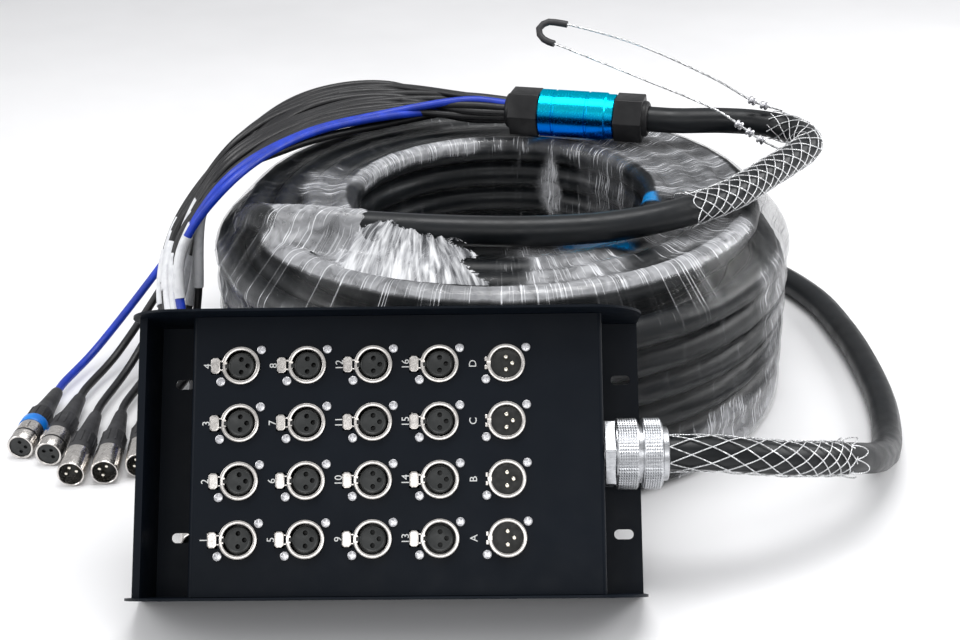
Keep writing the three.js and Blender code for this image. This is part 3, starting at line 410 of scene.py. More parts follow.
def turned(name, profile, segments=48, axis="X", angle=None, look=None):
    """A turned piece: a chain of points, drawn with extrude, spun about its axis.

    The points are (radius, station) in millimetres. It can be shaded smooth and given its material."""
    along = Vector((1, 0, 0)) if axis == "X" else Vector((0, -1, 0))
    chain = [along * station * MM + Vector((0, 0, radius * MM)) for radius, station in profile]
    piece = start_piece(bpy.ops.mesh.primitive_plane_add, name, size=0.1 * MM, location=chain[0])
    edit(piece, "VERT")
    bpy.ops.mesh.select_all(action="SELECT")
    bpy.ops.mesh.merge(type="CENTER")
    for a, b in zip(chain, chain[1:]):
        bpy.ops.mesh.extrude_region_move(TRANSFORM_OT_translate={"value": b - a})
    bpy.ops.mesh.select_all(action="SELECT")
    bpy.ops.mesh.spin(steps=segments, angle=TAU, center=(0, 0, 0), axis=along)
    leave_edit()
    clean(piece)
    if angle:
        smooth(piece, angle)
    if look:
        give(piece, look)
    return piece


def copy_to(master, name, matrix, body, parent=None):
    """A copy with its own mesh, put at its place in the row frame."""
    piece = master.copy()
    piece.data = master.data.copy()
    piece.name = piece.data.name = name
    piece.data.transform(matrix)
    bpy.context.scene.collection.objects.link(piece)
    if parent is None:
        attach(piece, body)
    else:
        piece.parent = parent
        piece.matrix_parent_inverse = Matrix.Identity(4)
    return piece


def forget(*masters):
    for master in masters:
        bpy.data.objects.remove(master)


def give(piece, look):
    """Gives a piece its material."""
    piece.data.materials.clear()
    piece.data.materials.append(MATERIALS[look])


def join(name, *pieces):
    """Joins pieces into the first one. Their material slots are kept."""
    make_active(pieces[0])
    for piece in pieces[1:]:
        piece.select_set(True)
    bpy.ops.object.join()
    pieces[0].name = pieces[0].data.name = name
    return pieces[0]


def belongs(piece, slot, *nodes, body="snake"):
    """Puts a piece on the empty of the body it rides and hides the CAD nodes it stands for. The slot is not
    used.
    """
    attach(piece, body)
    if nodes:
        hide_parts(*nodes)


# Materials

MATERIALS = {}


class Finish:
    """A node material built step by step round one Principled shader."""

    def __init__(self, key, name, color, roughness, metallic=0.0):
        self.material = MATERIALS[key] = bpy.data.materials.new(name)
        self.material.use_nodes = True
        self.tree = self.material.node_tree
        self.shader = self.tree.nodes["Principled BSDF"]
        self.set("Base Color", (*color, 1)).set("Roughness", roughness).set("Metallic", metallic)
        self.color = color
        self.coordinates = self.node("ShaderNodeTexCoord").outputs["Object"]

    def fill(self, socket, value):
        """Gives a socket a value or another node's output."""
        if isinstance(value, bpy.types.NodeSocket):
            self.tree.links.new(value, socket)
        else:
            socket.default_value = value

    def set(self, socket, value):
        """Fills one of the shader's own sockets."""
        self.fill(self.shader.inputs[socket], value)
        return self

    def node(self, kind, inputs=(), **settings):
        node = self.tree.nodes.new(kind)
        for key, value in settings.items():
            setattr(node, key, value)
        for key, value in dict(inputs).items():
            self.fill(node.inputs[key], value)
        return node

    def noise(self, scale, detail=4, vector=None, distortion=0.0):
        inputs = {"Scale": scale, "Detail": detail, "Distortion": distortion}
        inputs["Vector"] = vector or self.coordinates
        return self.node("ShaderNodeTexNoise", inputs).outputs["Fac"]

    def attribute(self, name, output):
        return self.node("ShaderNodeAttribute", attribute_name=name).outputs[output]

    def stretched(self, x, y, z):
        inputs = {"Scale": (x, y, z), "Vector": self.coordinates}
        return self.node("ShaderNodeMapping", inputs).outputs["Vector"]

    def split(self):
        return self.node("ShaderNodeSeparateXYZ", {0: self.coordinates}).outputs

    def math(self, operation, *inputs):
        return self.node("ShaderNodeMath", dict(enumerate(inputs)), operation=operation).outputs[0]

    def times(self, a, b):
        return self.math("MULTIPLY", a, b)

    def plus(self, a, b):
        return self.math("ADD", a, b)

    def span(self, source, low, high, from_low=0.0, from_high=1.0):
        inputs = {"Value": source, "From Min": from_low, "From Max": from_high, "To Min": low, "To Max": high}
        return self.node("ShaderNodeMapRange", inputs).outputs["Result"]

    def ramp(self, source, *stops):
        node = self.node("ShaderNodeValToRGB", {"Fac": source})
        elements = node.color_ramp.elements
        while len(elements) < len(stops):
            elements.new(0.5)
        for element, (position, color) in zip(elements, stops):
            element.position = position
            element.color = (*color, 1)
        return node.outputs["Color"]

    def tint(self, source, other, low=0.4, high=0.6):
        """Lets the colour wander from the finish's own to another."""
        return self.set("Base Color", self.ramp(source, (low, self.color), (high, other)))

    def gloss(self, source, low, high, from_low=0.3, from_high=0.7):
        return self.set("Roughness", self.span(source, low, high, from_low, from_high))

    def relief(self, source, depth, strength=1.0):
        """Raises the surface by up to depth metres where source is 1."""
        inputs = {"Strength": strength, "Distance": depth, "Height": source}
        before = self.shader.inputs["Normal"]
        if before.is_linked:
            inputs["Normal"] = before.links[0].from_socket
        return self.set("Normal", self.node("ShaderNodeBump", inputs).outputs["Normal"])


def shade(color, factor):
    return tuple(factor * c for c in color)


def plain_finish(key, name, color, roughness, metallic, gloss, relief=None, tint=None, specular=0.5):
    """A finish whose gloss, relief and colour each follow a noise of their own.

    Each begins with the noise's scale and detail. Then gloss has the lowest and highest roughness, relief
    the depth and strength, and tint the other colour and where the noise starts and ends it."""
    look = Finish(key, name, color, roughness, metallic)
    look.gloss(look.noise(*gloss[:2]), *gloss[2:])
    if relief:
        look.relief(look.noise(*relief[:2]), *relief[2:])
    if tint:
        look.tint(look.noise(*tint[:2]), *tint[2:])
    return look.set("Specular IOR Level", specular)


def make_materials(looks):
    coat, nickel, jacket = looks.coat_color, looks.nickel_color, looks.jacket_color
    black, blue = (0.005, 0.005, 0.006), (0.003, 0.028, 0.34)
    for row in (
        (
            "coat", "powder_coat", coat, 0.42, 0,
            (60, 5, 0.38, 0.5), (1600, 3, 6e-5, 0.5), (9, 6, shade(coat, 1.4), 0.35, 0.7), 0.13,
        ),
        (
            "nickel", "satin_nickel", nickel, 0.2, 1,
            (700, 4, 0.14, 0.3), (2400, 2, 2e-5, 0.4), (260, 4, shade(nickel, 0.72), 0.45, 0.75),
        ),
        ("contact", "contact_metal", (0.86, 0.82, 0.72), 0.16, 1, (1500, 3, 0.12, 0.24)),
        (
            "insert", "insert_plastic", (0.011, 0.013, 0.013), 0.42, 0,
            (300, 4, 0.36, 0.52), (1800, 3, 4e-5, 0.5), (120, 4, (0.02, 0.022, 0.022)),
        ),
        # Painted shade, for the groove of a socket plug.
        ("painted_shade", "socket_shadow", (0.002, 0.002, 0.002), 0.7, 0, (500, 4, 0.6, 0.8)),
        (
            "zinc", "zinc_screw", (0.68, 0.68, 0.7), 0.26, 1,
            (900, 4, 0.2, 0.4), None, (700, 3, (0.46, 0.46, 0.49), 0.45, 0.8),
        ),
        (
            "jacket", "cable_jacket", jacket, 0.36, 0,
            (90, 5, 0.3, 0.48), (1500, 4, 8e-5, 0.6), (30, 6, shade(jacket, 1.8), 0.4, 0.75), 0.36,
        ),
        (
            "tail_black", "tail_black", black, 0.36, 0,
            (200, 4, 0.32, 0.5), (2600, 4, 1e-4, 0.7), (80, 5, shade(black, 1.6), 0.4, 0.75),
        ),
        (
            "tail_blue", "tail_blue", blue, 0.36, 0,
            (200, 4, 0.32, 0.5), (2600, 4, 1e-4, 0.7), (80, 5, shade(blue, 1.6), 0.4, 0.75),
        ),
        (
            "nylon", "moulded_nylon", (0.006, 0.006, 0.007), 0.36, 0,
            (140, 4, 0.34, 0.5), (900, 4, 1e-4, 0.5), (60, 4, (0.012, 0.012, 0.013)), 0.3,
        ),
        (
            "rubber", "boot_rubber", (0.014, 0.014, 0.016), 0.52, 0,
            (180, 4, 0.45, 0.62), (1500, 4, 1e-4, 0.5), (70, 4, (0.03, 0.03, 0.033)),
        ),
        (
            "ring", "blue_ring", (0, 0.16, 0.62), 0.35, 0,
            (260, 4, 0.28, 0.42), None, (90, 4, (0.01, 0.25, 0.74)),
        ),
        (
            "sleeve", "white_sleeve", (0.74, 0.75, 0.77), 0.38, 0,
            (300, 4, 0.3, 0.5), (420, 4, 3e-4, 0.5), (160, 5, (0.58, 0.59, 0.62), 0.45, 0.75),
        ),
    ):
        plain_finish(*row)

    ink = Finish("ink", "white_print", (0.72, 0.73, 0.72), 0.55)
    ink.tint(ink.noise(2600, 3), (0.42, 0.43, 0.43), 0.52, 0.78).relief(ink.noise(3000, 2), 3e-5, 0.5)

    satin = Finish("satin", "satin_aluminium", (0.56, 0.57, 0.59), 0.32, 1)
    satin.gloss(satin.noise(1300, 3, satin.stretched(0.2, 1, 1)), 0.22, 0.4)
    satin.tint(satin.noise(420, 4), (0.42, 0.43, 0.45), 0.45, 0.8)

    wire = plain_finish(
        "wire", "drawn_wire", (0.8, 0.81, 0.82), 0.24, 1,
        (1200, 4, 0.18, 0.4), None, (500, 4, (0.5, 0.5, 0.51), 0.4, 0.75),
    )
    inputs = {"Scale": 330, "Vector": wire.coordinates}
    strands = wire.node("ShaderNodeTexWave", inputs, wave_type="BANDS", bands_direction="DIAGONAL")
    wire.relief(strands.outputs["Fac"], 2.5e-4, 0.6)

    make_anodised(looks)
    make_film_material(looks)
    make_torn_film_material()


def make_anodised(looks):
    """Blue anodised metal. Its colour goes by height from deep blue below to pale cyan above: a painted
    reflection of the bright room.
    """
    blue = Finish("anodised", "blue_anodised", looks.barrel_color, 0.22, 1)
    blue.gloss(blue.noise(900, 4, blue.stretched(1, 0.15, 1)), 0.16, 0.3)
    # Painted reflection: the height over the film picks the colour from the ramp, with a little random wander.
    share = blue.span(blue.split()["Z"], 0, 1, FILM_TOP, FILM_TOP + 2 * BARREL_R)
    wander = blue.times(blue.math("SUBTRACT", blue.noise(60, 5), 0.5), 0.12)
    stops = (0.1, looks.barrel_color), (0.5, (0, 0.22, 0.8)), (0.72, (0.005, 0.6, 0.84))
    blue.set("Base Color", blue.ramp(blue.plus(share, wander), *stops))
    blue.set("Specular Tint", (0.02, 0.7, 0.88, 1))


def make_film_material(looks):
    """Clear stretch film over black cable: glossy where clear, white where scuffed or in layers, with painted
    highlights on the rims, a painted reflection of the bright room over the top and a painted blue reflection
    of the barrel.

    Streaks run down the walls and outwards over the top, and they crowd at the borders of the white patches."""
    film = Finish("film", "stretch_film", (0.012, 0.0135, 0.015), 0.1)
    film.material.surface_render_method = "BLENDED"
    at = film.split()
    dx = film.math("SUBTRACT", at["X"], COIL_X)
    dy = film.math("SUBTRACT", at["Y"], COIL_Y)
    angle = film.math("ARCTAN2", dy, dx)
    radius = film.math("POWER", film.plus(film.times(dx, dx), film.times(dy, dy)), 0.5)
    around = {"X": film.math("COSINE", angle), "Y": film.math("SINE", angle)}
    around["Z"] = film.times(film.plus(at["Z"], radius), 0.3)
    round_coil = film.node("ShaderNodeCombineXYZ", around).outputs[0]
    fine = film.noise(150, 2, round_coil, 0.03)
    clusters = film.noise(11, 3, round_coil, 0.5)
    creases = film.noise(70, 6, None, 1.2)
    # This attribute holds the white of scuffs and film in layers together with painted highlights on the rims
    # and a painted reflection over the top.
    haze_and_sheen = film.attribute("haze_and_sheen", "Fac")
    # That whiteness with noise of clusters: scuffs and layers of film, painted highlights and painted
    # reflection.
    torn = film.plus(haze_and_sheen, film.times(film.math("SUBTRACT", clusters, 0.5), 0.5))
    veil_and_sheen = film.times(film.span(torn, 0, 0.62, 0.12, 0.66), film.span(creases, 0.66, 1.1, 0.3, 0.7))
    crowd = film.times(film.span(clusters, 0.15, 1, 0.44, 0.62), film.plus(0.26, film.times(haze_and_sheen, 1.6)))
    streaks = film.times(film.span(fine, 0, 1, 0.6, 0.66), crowd)
    white = film.math("MINIMUM", film.plus(veil_and_sheen, film.times(streaks, 1.3)), 0.92)
    blue = film.attribute("blue", "Fac")
    pale = film.ramp(white, (0, film.color), (0.8, (0.72, 0.73, 0.76)))
    # Painted reflection: the blue barrel mirrored in the film, mixed into its colour by the blue attribute.
    painted_reflection_mix = film.node("ShaderNodeMix", {0: blue, 6: pale, 7: (0, 0.24, 0.62, 1)}, data_type="RGBA")
    film.set("Base Color", painted_reflection_mix.outputs[2])
    facing = film.node("ShaderNodeLayerWeight", {"Blend": 0.3}).outputs["Facing"]
    seen = film.math("MAXIMUM", white, film.times(blue, 0.8))
    film.set("Alpha", film.math("MAXIMUM", film.span(facing, looks.film_clear, looks.film_edge), seen))
    film.relief(fine, 0.0004, 0.5).relief(clusters, 0.002, 0.4).relief(creases, 0.002, 0.25)
    film.gloss(clusters, 0.08, 0.2).set("IOR", 1.6)


def make_torn_film_material():
    """Crumpled film: fine bright creases that spread like a fan, by the flap's own attribute."""
    film = Finish("torn_film", "torn_film", (0.8, 0.81, 0.83), 0.24)
    film.material.surface_render_method = "BLENDED"
    fan = film.attribute("fan", "Vector")
    rays = film.noise(4, 4, fan, 1.3)
    creases = film.noise(10, 3, fan, 0.9)
    both = film.plus(film.times(rays, 0.6), film.times(creases, 0.4))
    film.set("Alpha", film.span(both, 0.16, 0.82, 0.4, 0.62))
    film.set("Base Color", film.ramp(both, (0.4, (0.36, 0.37, 0.4)), (0.6, film.color)))
    film.relief(rays, 0.0012, 0.5).relief(creases, 0.0005, 0.4).gloss(creases, 0.14, 0.35).set("IOR", 1.5)


# The box

def refined_copy(node, name, rounding):
    """A CAD sheet-metal node as one clean mesh with its edges softly broken."""
    deselect()
    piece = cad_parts[node].copy()
    piece.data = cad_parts[node].data.copy()
    piece.name = piece.data.name = name
    for key in list(piece.keys()):
        del piece[key]
    piece.parent = None
    bpy.context.scene.collection.objects.link(piece)
    edit(piece)
    bpy.ops.mesh.select_all(action="SELECT")
    bpy.ops.mesh.remove_doubles(threshold=2e-6)
    bpy.ops.mesh.dissolve_limited(angle_limit=math.radians(1))
    bpy.ops.mesh.customdata_custom_splitnormals_clear()
    leave_edit()
    bevel(piece, rounding, 2, 30)
    smooth(piece, 40)
    even = piece.modifiers.new("even shading", "WEIGHTED_NORMAL")
    even.keep_sharp = True
    even.weight = 90
    apply_modifiers(piece)
    return piece


def make_sheet_metal(sizes):
    for node, name in (("box_chassis", "chassis"), ("connector_panel", "panel")):
        piece = refined_copy(node, name, sizes.sheet_rounding)
        give(piece, "coat")
        belongs(piece, "black_coat", node)


def jack_place(column, row, x=0.0, z=0.0, out=0.0):
    """A place on the panel's face by a jack, out of the panel by out."""
    return BOX @ Matrix.Translation((COLUMN_X[column] + x, -PANEL_DEPTH - out, ROW_Z[row] + z))


def ring_master(female):
    """A jack's ring with a slot for the key, and rails towards its push tab or a small lug."""
    ring = turned(
        "jack_ring",
        [
            (9.1, -18), (11.5, -18), (11.5, 1.8), (11.3, 2.35), (10.9, 2.5),
            (9.6, 2.5), (9.25, 2.35), (9.1, 2), (9.1, -18),
        ],
        64,
        "-Y",
    )
    cut(ring, block_piece("keyway", (5, 6, 4.2 if female else 2.4), (-10.6, -2, 0)))
    smooth(ring, 40)
    size, rise, out, rounding = ((1.9, 12, 0.8), 2.6, 4.7, 0.2) if female else ((1.5, 12, 2.6), 2.5, 4.2, 0.3)
    rails = [block_piece("rail", size, (-11.9, out, side * rise), rounding) for side in (1, -1)]
    ring = join("jack_ring", ring, *rails)
    give(ring, "nickel")
    return ring


def insert_master():
    """A socket's insert: a step, three holes and a key at the left."""
    profile = [(0, -17.5), (9.4, -17.5), (9.4, -9), (7.9, -9), (7.9, 0.2), (7.5, 0.9), (7, 1.1), (6.6, 0.9)]
    profile += [(6.2, 0.7), (0, 0.7)]
    insert = turned("jack_insert", profile, 48, "-Y")
    cut(insert, contact_cylinders(1.5, 4, -2.2))
    insert = join("jack_insert", insert, block_piece("key", (3.2, 7, 2.4), (-8.4, 4.4, 0)))
    smooth(insert, 40)
    give(insert, "insert")
    return insert


def contact_cylinders(radius, length, middle):
    """Three cylinders at the top, right and bottom of a jack, along the panel's normal, in millimetres.

    The length is half of the cylinder's own, and the middle its place out of the panel."""
    out = []
    for turn in range(3):
        angle = math.pi / 2 - turn * math.pi / 2
        place_at = Vector((CONTACT_R * math.cos(angle), -middle, CONTACT_R * math.sin(angle))) * MM
        turn_to = (math.pi / 2, 0, 0)
        size = {"vertices": 20, "radius": radius * MM, "depth": 2 * length * MM}
        add = bpy.ops.mesh.primitive_cylinder_add
        out.append(start_piece(add, "contact", location=place_at, rotation=turn_to, **size))
    return join("contacts", *out)


def cut(piece, cutter):
    modifier = piece.modifiers.new("cut", "BOOLEAN")
    modifier.operation = "DIFFERENCE"
    modifier.solver = "EXACT"
    modifier.object = cutter
    apply_modifiers(piece)
    forget(cutter)


def block_piece(name, size, centre, rounding=0):
    """A block with rounded edges. Sizes in millimetres."""
    add = bpy.ops.mesh.primitive_cube_add
    piece = start_piece(add, name, size=1, location=Vector(centre) * MM, scale=Vector(size) * MM)
    if rounding:
        bevel(piece, rounding * MM)
    return piece


def tab_master():
    """A push tab: an eight-sided plate with rounded edges and a pressed frame."""
    tab = block_piece("push_tab", (5.4, 10, 9.4), (0, 3, 0))
    edit(tab, "EDGE")
    select(tab, "edges", lambda e: abs((e.verts[0].co - e.verts[1].co).normalized().y) > 0.9)
    bpy.ops.mesh.bevel(offset=1.3 * MM, segments=1)
    bpy.ops.mesh.select_mode(type="FACE")
    select(tab, "faces", lambda f: f.normal.y < -0.9)
    bpy.ops.mesh.inset(thickness=0.5 * MM)
    bpy.ops.mesh.inset(thickness=0.25 * MM, depth=-0.25 * MM)
    leave_edit()
    bevel(tab, 0.25 * MM, 2, 50)
    smooth(tab, 30)
    give(tab, "nickel")
    return tab


def push_word():
    """The small raised word on a push tab, which reads upwards."""
    word = text_piece("PUSH", 2.3 * MM, 0.12 * MM)
    word.data.transform(Matrix.Rotation(-math.pi / 2, 4, "Y"))
    word.data.transform(Matrix.Translation((0, -1.75 * MM, 0)))
    give(word, "nickel")
    return word


def text_piece(word, size, thick):
    """Flat lettering on a plane that faces -Y, its middle at the origin."""
    deselect()
    bpy.ops.object.text_add()
    text = bpy.context.object
    text.data.body = word
    text.data.size = size
    text.data.extrude = thick
    text.data.align_x = "CENTER"
    text.data.align_y = "CENTER"
    text.data.resolution_u = 3
    bpy.ops.object.convert(target="MESH")
    piece = bpy.context.object
    piece.name = piece.data.name = "lettering"
    piece.data.transform(Matrix.Rotation(math.pi / 2, 4, "X"))
    return piece


def screw_master():
    """A cross-head screw: a domed head with a cross cut into it."""
    profile = [(0, 0), (2.75, 0), (2.75, 0.5), (2.55, 0.95), (2.1, 1.15), (0, 1.25)]
    head = turned("screw", profile, 32, "-Y")
    for size in ((3.7, 2.0, 0.75), (0.75, 2.0, 3.7)):
        cut(head, block_piece("slot", size, (0, -1.5, 0)))
    smooth(head)
    give(head, "zinc")
    return head


def jacks():
    """Every jack's column, row, number and whether it is a return jack."""
    for column in range(5):
        for row in range(4):
            yield column, row, column * 4 + row + 1, column == 4


def make_jacks():
    rings, insert, screw = (ring_master(True), ring_master(False)), insert_master(), screw_master()
    tab = join("push_tab", tab_master(), push_word())
    for column, row, number, male in jacks():
        node = f"return_jack_{'abcd'[row]}" if male else f"input_jack_{number}"
        at = jack_place(column, row)
        piece = copy_to(rings[male], node + "_ring", at, "snake")
        belongs(piece, "nickel_plate", node)
        if male:
            make_pins(node, at, piece)
        else:
            copy_to(insert, node + "_insert", at, "snake", piece)
            latch_node = f"push_tab_{number}"
            latch = copy_to(tab, latch_node + "_plate", jack_place(column, row, TAB_SHIFT), latch_node)
            belongs(latch, "nickel_plate", latch_node, body=latch_node)
        for i, side in enumerate((1, -1)):
            spin = Matrix.Rotation(0.7 * row + 1.9 * column + i, 4, "Y")
            place_at = jack_place(column, row, side * SCREW_SHIFT[0], side * SCREW_SHIFT[1]) @ spin
            copy_to(screw, f"{node}_screw_{i + 1}", place_at, "snake")
    forget(*rings, insert, screw, tab)


def make_pins(node, at, parent):
    """The inside of a return jack: a black floor and three pins."""
    profile = [(0, -17.5), (9.4, -17.5), (9.4, -8.5), (0, -8.5)]
    floor = turned("floor", profile, 48, "-Y", 35, "insert")
    copy_to(floor, node + "_floor", at, "snake", parent)
    pins = contact_cylinders(1.2, 4.75, -3.75)
    bevel(pins, 0.5 * MM, 3, 50)
    smooth(pins)
    give(pins, "contact")
    copy_to(pins, node + "_pins", at, "snake", parent)
    forget(floor, pins)


def make_prints(sizes):
    """Channel numbers and letters, printed beside the jacks so that they read upwards."""
    upright = Matrix.Rotation(-math.pi / 2, 4, "Y")
    for column, row, number, male in jacks():
        word = "ABCD"[row] if male else str(number)
        text = text_piece(word, sizes.print_height, 0.04 * MM)
        shift = LETTER_SHIFT if male else PRINT_SHIFT
        text.data.transform(jack_place(column, row, shift, 0, 0.06 * MM) @ upright)
        text.name = text.data.name = f"print_{word}"
        give(text, "ink")
        belongs(text, "black_coat")


def hexagon(name, across_flats, start, end):
    """A hexagon nut along X, with its corners turned down."""
    corner = across_flats / 2 / math.cos(math.pi / 6)
    nut = prism(name, 6, corner, start, end)
    edit(nut)
    select(nut, "faces", lambda f: abs(f.normal.x) > 0.9)
    bpy.ops.mesh.inset(thickness=corner - across_flats / 2 + 0.6 * MM)
    leave_edit()
    bevel(nut, 0.9 * MM, 3, 30)
    smooth(nut)
    return nut


def prism(name, sides, radius, start, end):
    """A closed prism along X."""
    size = {"vertices": sides, "radius": radius, "depth": end - start}
    middle = ((start + end) / 2, 0, 0)
    add = bpy.ops.mesh.primitive_cylinder_add
    return start_piece(add, name, location=middle, rotation=(0, math.pi / 2, 0), **size)


def knurled_ring(name, radius, start, end, rows=7, count=64):
    """A ring along X whose rim is cut with small pyramids."""
    ring = prism(name, count, radius, start, end)
    edit(ring, "EDGE")
    select(ring, "edges", lambda e: abs((e.verts[0].co - e.verts[1].co).normalized().x) > 0.9)
    bpy.ops.mesh.subdivide(number_cuts=rows)
    bpy.ops.mesh.select_mode(type="FACE")
    select(ring, "faces", lambda f: abs(f.normal.x) < 0.5)
    bpy.ops.mesh.poke(offset=0.55 * MM)
    select(ring, "faces", lambda f: abs(f.normal.x) > 0.95)
    bpy.ops.mesh.inset(thickness=1.0 * MM)
    leave_edit()
    make_active(ring)
    bpy.ops.object.shade_flat()
    return ring


def make_gland():
    at = BOX @ Matrix.Translation((PANEL_HALF_WIDTH, -GLAND_AXIS_FROM_BACK, BOX_HEIGHT / 2))
    neck = [(0, -8), (16, -8), (16, 7.6), (20.6, 7.6), (20.6, 8.2), (16, 8.4), (16, 30), (0, 30)]
    body = turned("gland_body", neck, 56, angle=35)
    body = join("gland_neck", body, hexagon("gland_hex", 38.4 * MM, 0.3 * MM, 7.3 * MM))
    lock = knurled_ring("gland_lock", KNURL_R, 8.4 * MM, 20.2 * MM)
    groove = [(16.4, 20.2), (20.4, 20.2), (20.4, 21), (17.6, 21.3), (17.6, 23.3)]
    groove += [(20.4, 23.6), (20.4, 24.2), (16.4, 24.2)]
    collar = turned("collar", groove, 56, angle=35)
    cap = knurled_ring("gland_cap", KNURL_R, 24.2 * MM, 34.2 * MM, 6)
    rim = [(12, 34.1), (20.2, 34.1), (20.2, 34.9), (18.6, 35.6), (16.4, 35.8), (16.4, 38.4)]
    rim += [(15.6, 39), (12, 39)]
    cap = join("gland_cap_piece", cap, turned("lip", rim, 56, angle=35))
    lock = join("gland_lock_piece", lock, collar)
    for piece, node in ((body, "gland_body"), (lock, "gland_lock_ring"), (cap, "gland_cap")):
        give(piece, "satin")
        piece.data.transform(at)
        belongs(piece, "satin_aluminium", node)


# The trunk cable

def make_trunk():
    inside = BOX_LEAD[0] - Vector((8 * MM, 0, 0))
    line = [inside, *BOX_LEAD[:-1], *COIL_TURNS[:-1], *FAN_LEAD]
    cable = curve_piece("trunk_cable", [line], CABLE_R, 3)
    give(cable, "jacket")
    belongs(cable, "cable_jacket", "coil_winding", "coil_core", "trunk_lead_to_box", "trunk_lead_to_fan_out")
    return cable, line


def braid(name, line, stretch, pitches):
    """A wire mesh sleeve: strands wound both ways round a stretch of a line, passing over and under.

    Their pitch goes evenly from the first value to the second."""
    frames = frames_along(line)
    start, length = stretch[0], stretch[1] - stretch[0]
    samples = max(24, int(length / (2.2 * MM)))
    turns, angle = [], 0.0
    for i in range(samples + 1):
        turns.append(angle)
        angle += TAU * length / samples / (pitches[0] + (pitches[1] - pitches[0]) * i / samples)
    splines = []
    for hand in (1, -1):
        for strand in range(GRIP_STRANDS):
            points = []
            for i, turn in enumerate(turns):
                a = hand * turn + TAU * strand / GRIP_STRANDS
                weave = 0.5 * GRIP_WIRE * math.cos(GRIP_STRANDS * turn + math.pi * strand) * hand
                station = start + length * i / samples
                points.append(point_round(line, frames, station, a, GRIP_R + GRIP_WIRE + weave))
            splines.append(points)
    return curve_piece(name, splines, GRIP_WIRE, 1)


def point_round(line, frames, station, angle, radius):
    """A place round a line, at a length along it, at an angle and a radius from it."""
    step = (line[1] - line[0]).length
    k = min(int(station / step), len(line) - 2)
    t = station / step - k
    centre = line[k].lerp(line[k + 1], t)
    side = frames[k][0].lerp(frames[k + 1][0], t).normalized()
    up = frames[k][1].lerp(frames[k + 1][1], t).normalized()
    return centre + (side * math.cos(angle) + up * math.sin(angle)) * radius


def grip_loops(line, station, reach, angle):
    """The bent ends of a mesh grip: each loop joins two strands and springs a little off the cable."""
    frames = frames_along(line)
    loops = []
    for strand in range(GRIP_STRANDS):
        middle = angle + TAU * (strand + 0.5) / GRIP_STRANDS
        loop = []
        for i in range(9):
            share = i / 8 * 2 - 1
            bow = 1 - share * share
            lift = GRIP_R + GRIP_WIRE + bow * (1.5 + 2.5 * (strand * 0.618 % 1)) * MM
            turn = middle + share * math.pi / GRIP_STRANDS
            loop.append(point_round(line, frames, station + reach * bow, turn, lift))
        loops.append(loop)
    return loops


def make_grips():
    fan_length = line_length(FAN_LEAD)
    from_fan, to_fan = fan_length * 12.1 / 22, fan_length * 19 / 22
    box_grip = braid("grip_at_box", BOX_LEAD, (1 * MM, 132 * MM), (170 * MM, 58 * MM))
    box_ends = grip_loops(BOX_LEAD, 131 * MM, 11 * MM, 0.4)
    fan_grip = braid("grip_at_fan_out", FAN_LEAD, (from_fan + 6 * MM, to_fan), (78 * MM, 110 * MM))
    fan_ends = grip_loops(FAN_LEAD, from_fan + 7 * MM, -6 * MM, 0.9)
    for piece, ends, where in ((box_grip, box_ends, "box"), (fan_grip, fan_ends, "fan")):
        for end in ends:
            add_spline(piece.data, end)
        give(piece, "wire")
        belongs(piece, "steel_wire", f"mesh_grip_{where}_end")
    return [box_grip, fan_grip]


def ferrule_master():
    """A crimped ferrule along X, waisted in the middle."""
    half = [(0.5, 3), (2.3, 3), (3.1, 2.3), (3.2, 1)]
    profile = [(r, -s) for r, s in half] + [(1.9, 0)] + half[::-1]
    return turned("ferrule", profile, 20, "X", 50, "zinc")


def make_eye():
    line = smooth_route(EYE_ROUTE, 5 * MM)
    frames = frames_along(line)
    strands = []
    for strand in range(3):
        points = []
        for i, (p, (side, up)) in enumerate(zip(line, frames)):
            a = TAU * (i * 5 / 16 + strand / 3)
            points.append(p + (side * math.cos(a) + up * math.sin(a)) * 0.5 * MM)
        strands.append(points)
    eye = curve_piece("eye_wire", strands, EYE_WIRE, 2)
    give(eye, "wire")
    belongs(eye, "steel_wire", "pulling_eye")
    tip = min(range(len(line)), key=lambda i: line[i].x)
    sleeve = tube_piece("eye_sleeve", line[tip - 4:tip + 6], 2.7 * MM, "rubber")
    sleeve.parent = eye
    master = ferrule_master()
    for i, k in enumerate((3, 5, 7, -4, -6)):
        heading = (line[k + 1] - line[k - 1]).to_track_quat("X", "Z").to_matrix().to_4x4()
        copy_to(master, f"ferrule_{i + 1}", Matrix.Translation(line[k]) @ heading, "snake", eye)
    forget(master)
    return eye


def nut_and_dome(name, start, length, dome_first):
    """A hexagon nut of the fan-out with a rounded neck before or after it."""
    hex_start = start + (NUT_DOME if dome_first else 0)
    nut = hexagon(name, NUT_AF, hex_start, hex_start + length)
    end, way = (start, 1) if dome_first else (hex_start + length + NUT_DOME, -1)
    neck = [(10.6, 0), (12.2, 0), (13.6, 0.9), (14.4, 2.6), (14.5, 5), (10.6, 5)]
    return join(name, nut, turned("dome", [(r, end / MM + way * s) for r, s in neck], 48, "X", 50))


def barrel_piece():
    """The blue barrel with a stepped collar, two grooves and chamfered ends."""
    length, low = BARREL_LENGTH / MM, BARREL_R / MM - 1
    profile = [(0, 0), (low - 0.7, 0), (low, 0.5), (low, 6.6), (low + 1, 7.6)]
    for share in (0.36, 0.8):
        for depth, shift in ((0, -1.2), (0.7, -0.8), (0.7, 0.8), (0, 1.2)):
            profile.append((low + 1 - depth, length * share + shift))
    profile += [(low + 1, length - 0.9), (low + 0.1, length), (0, length)]
    return turned("barrel", [(r, BARREL_START / MM + s) for r, s in profile], 80, "X", 30)


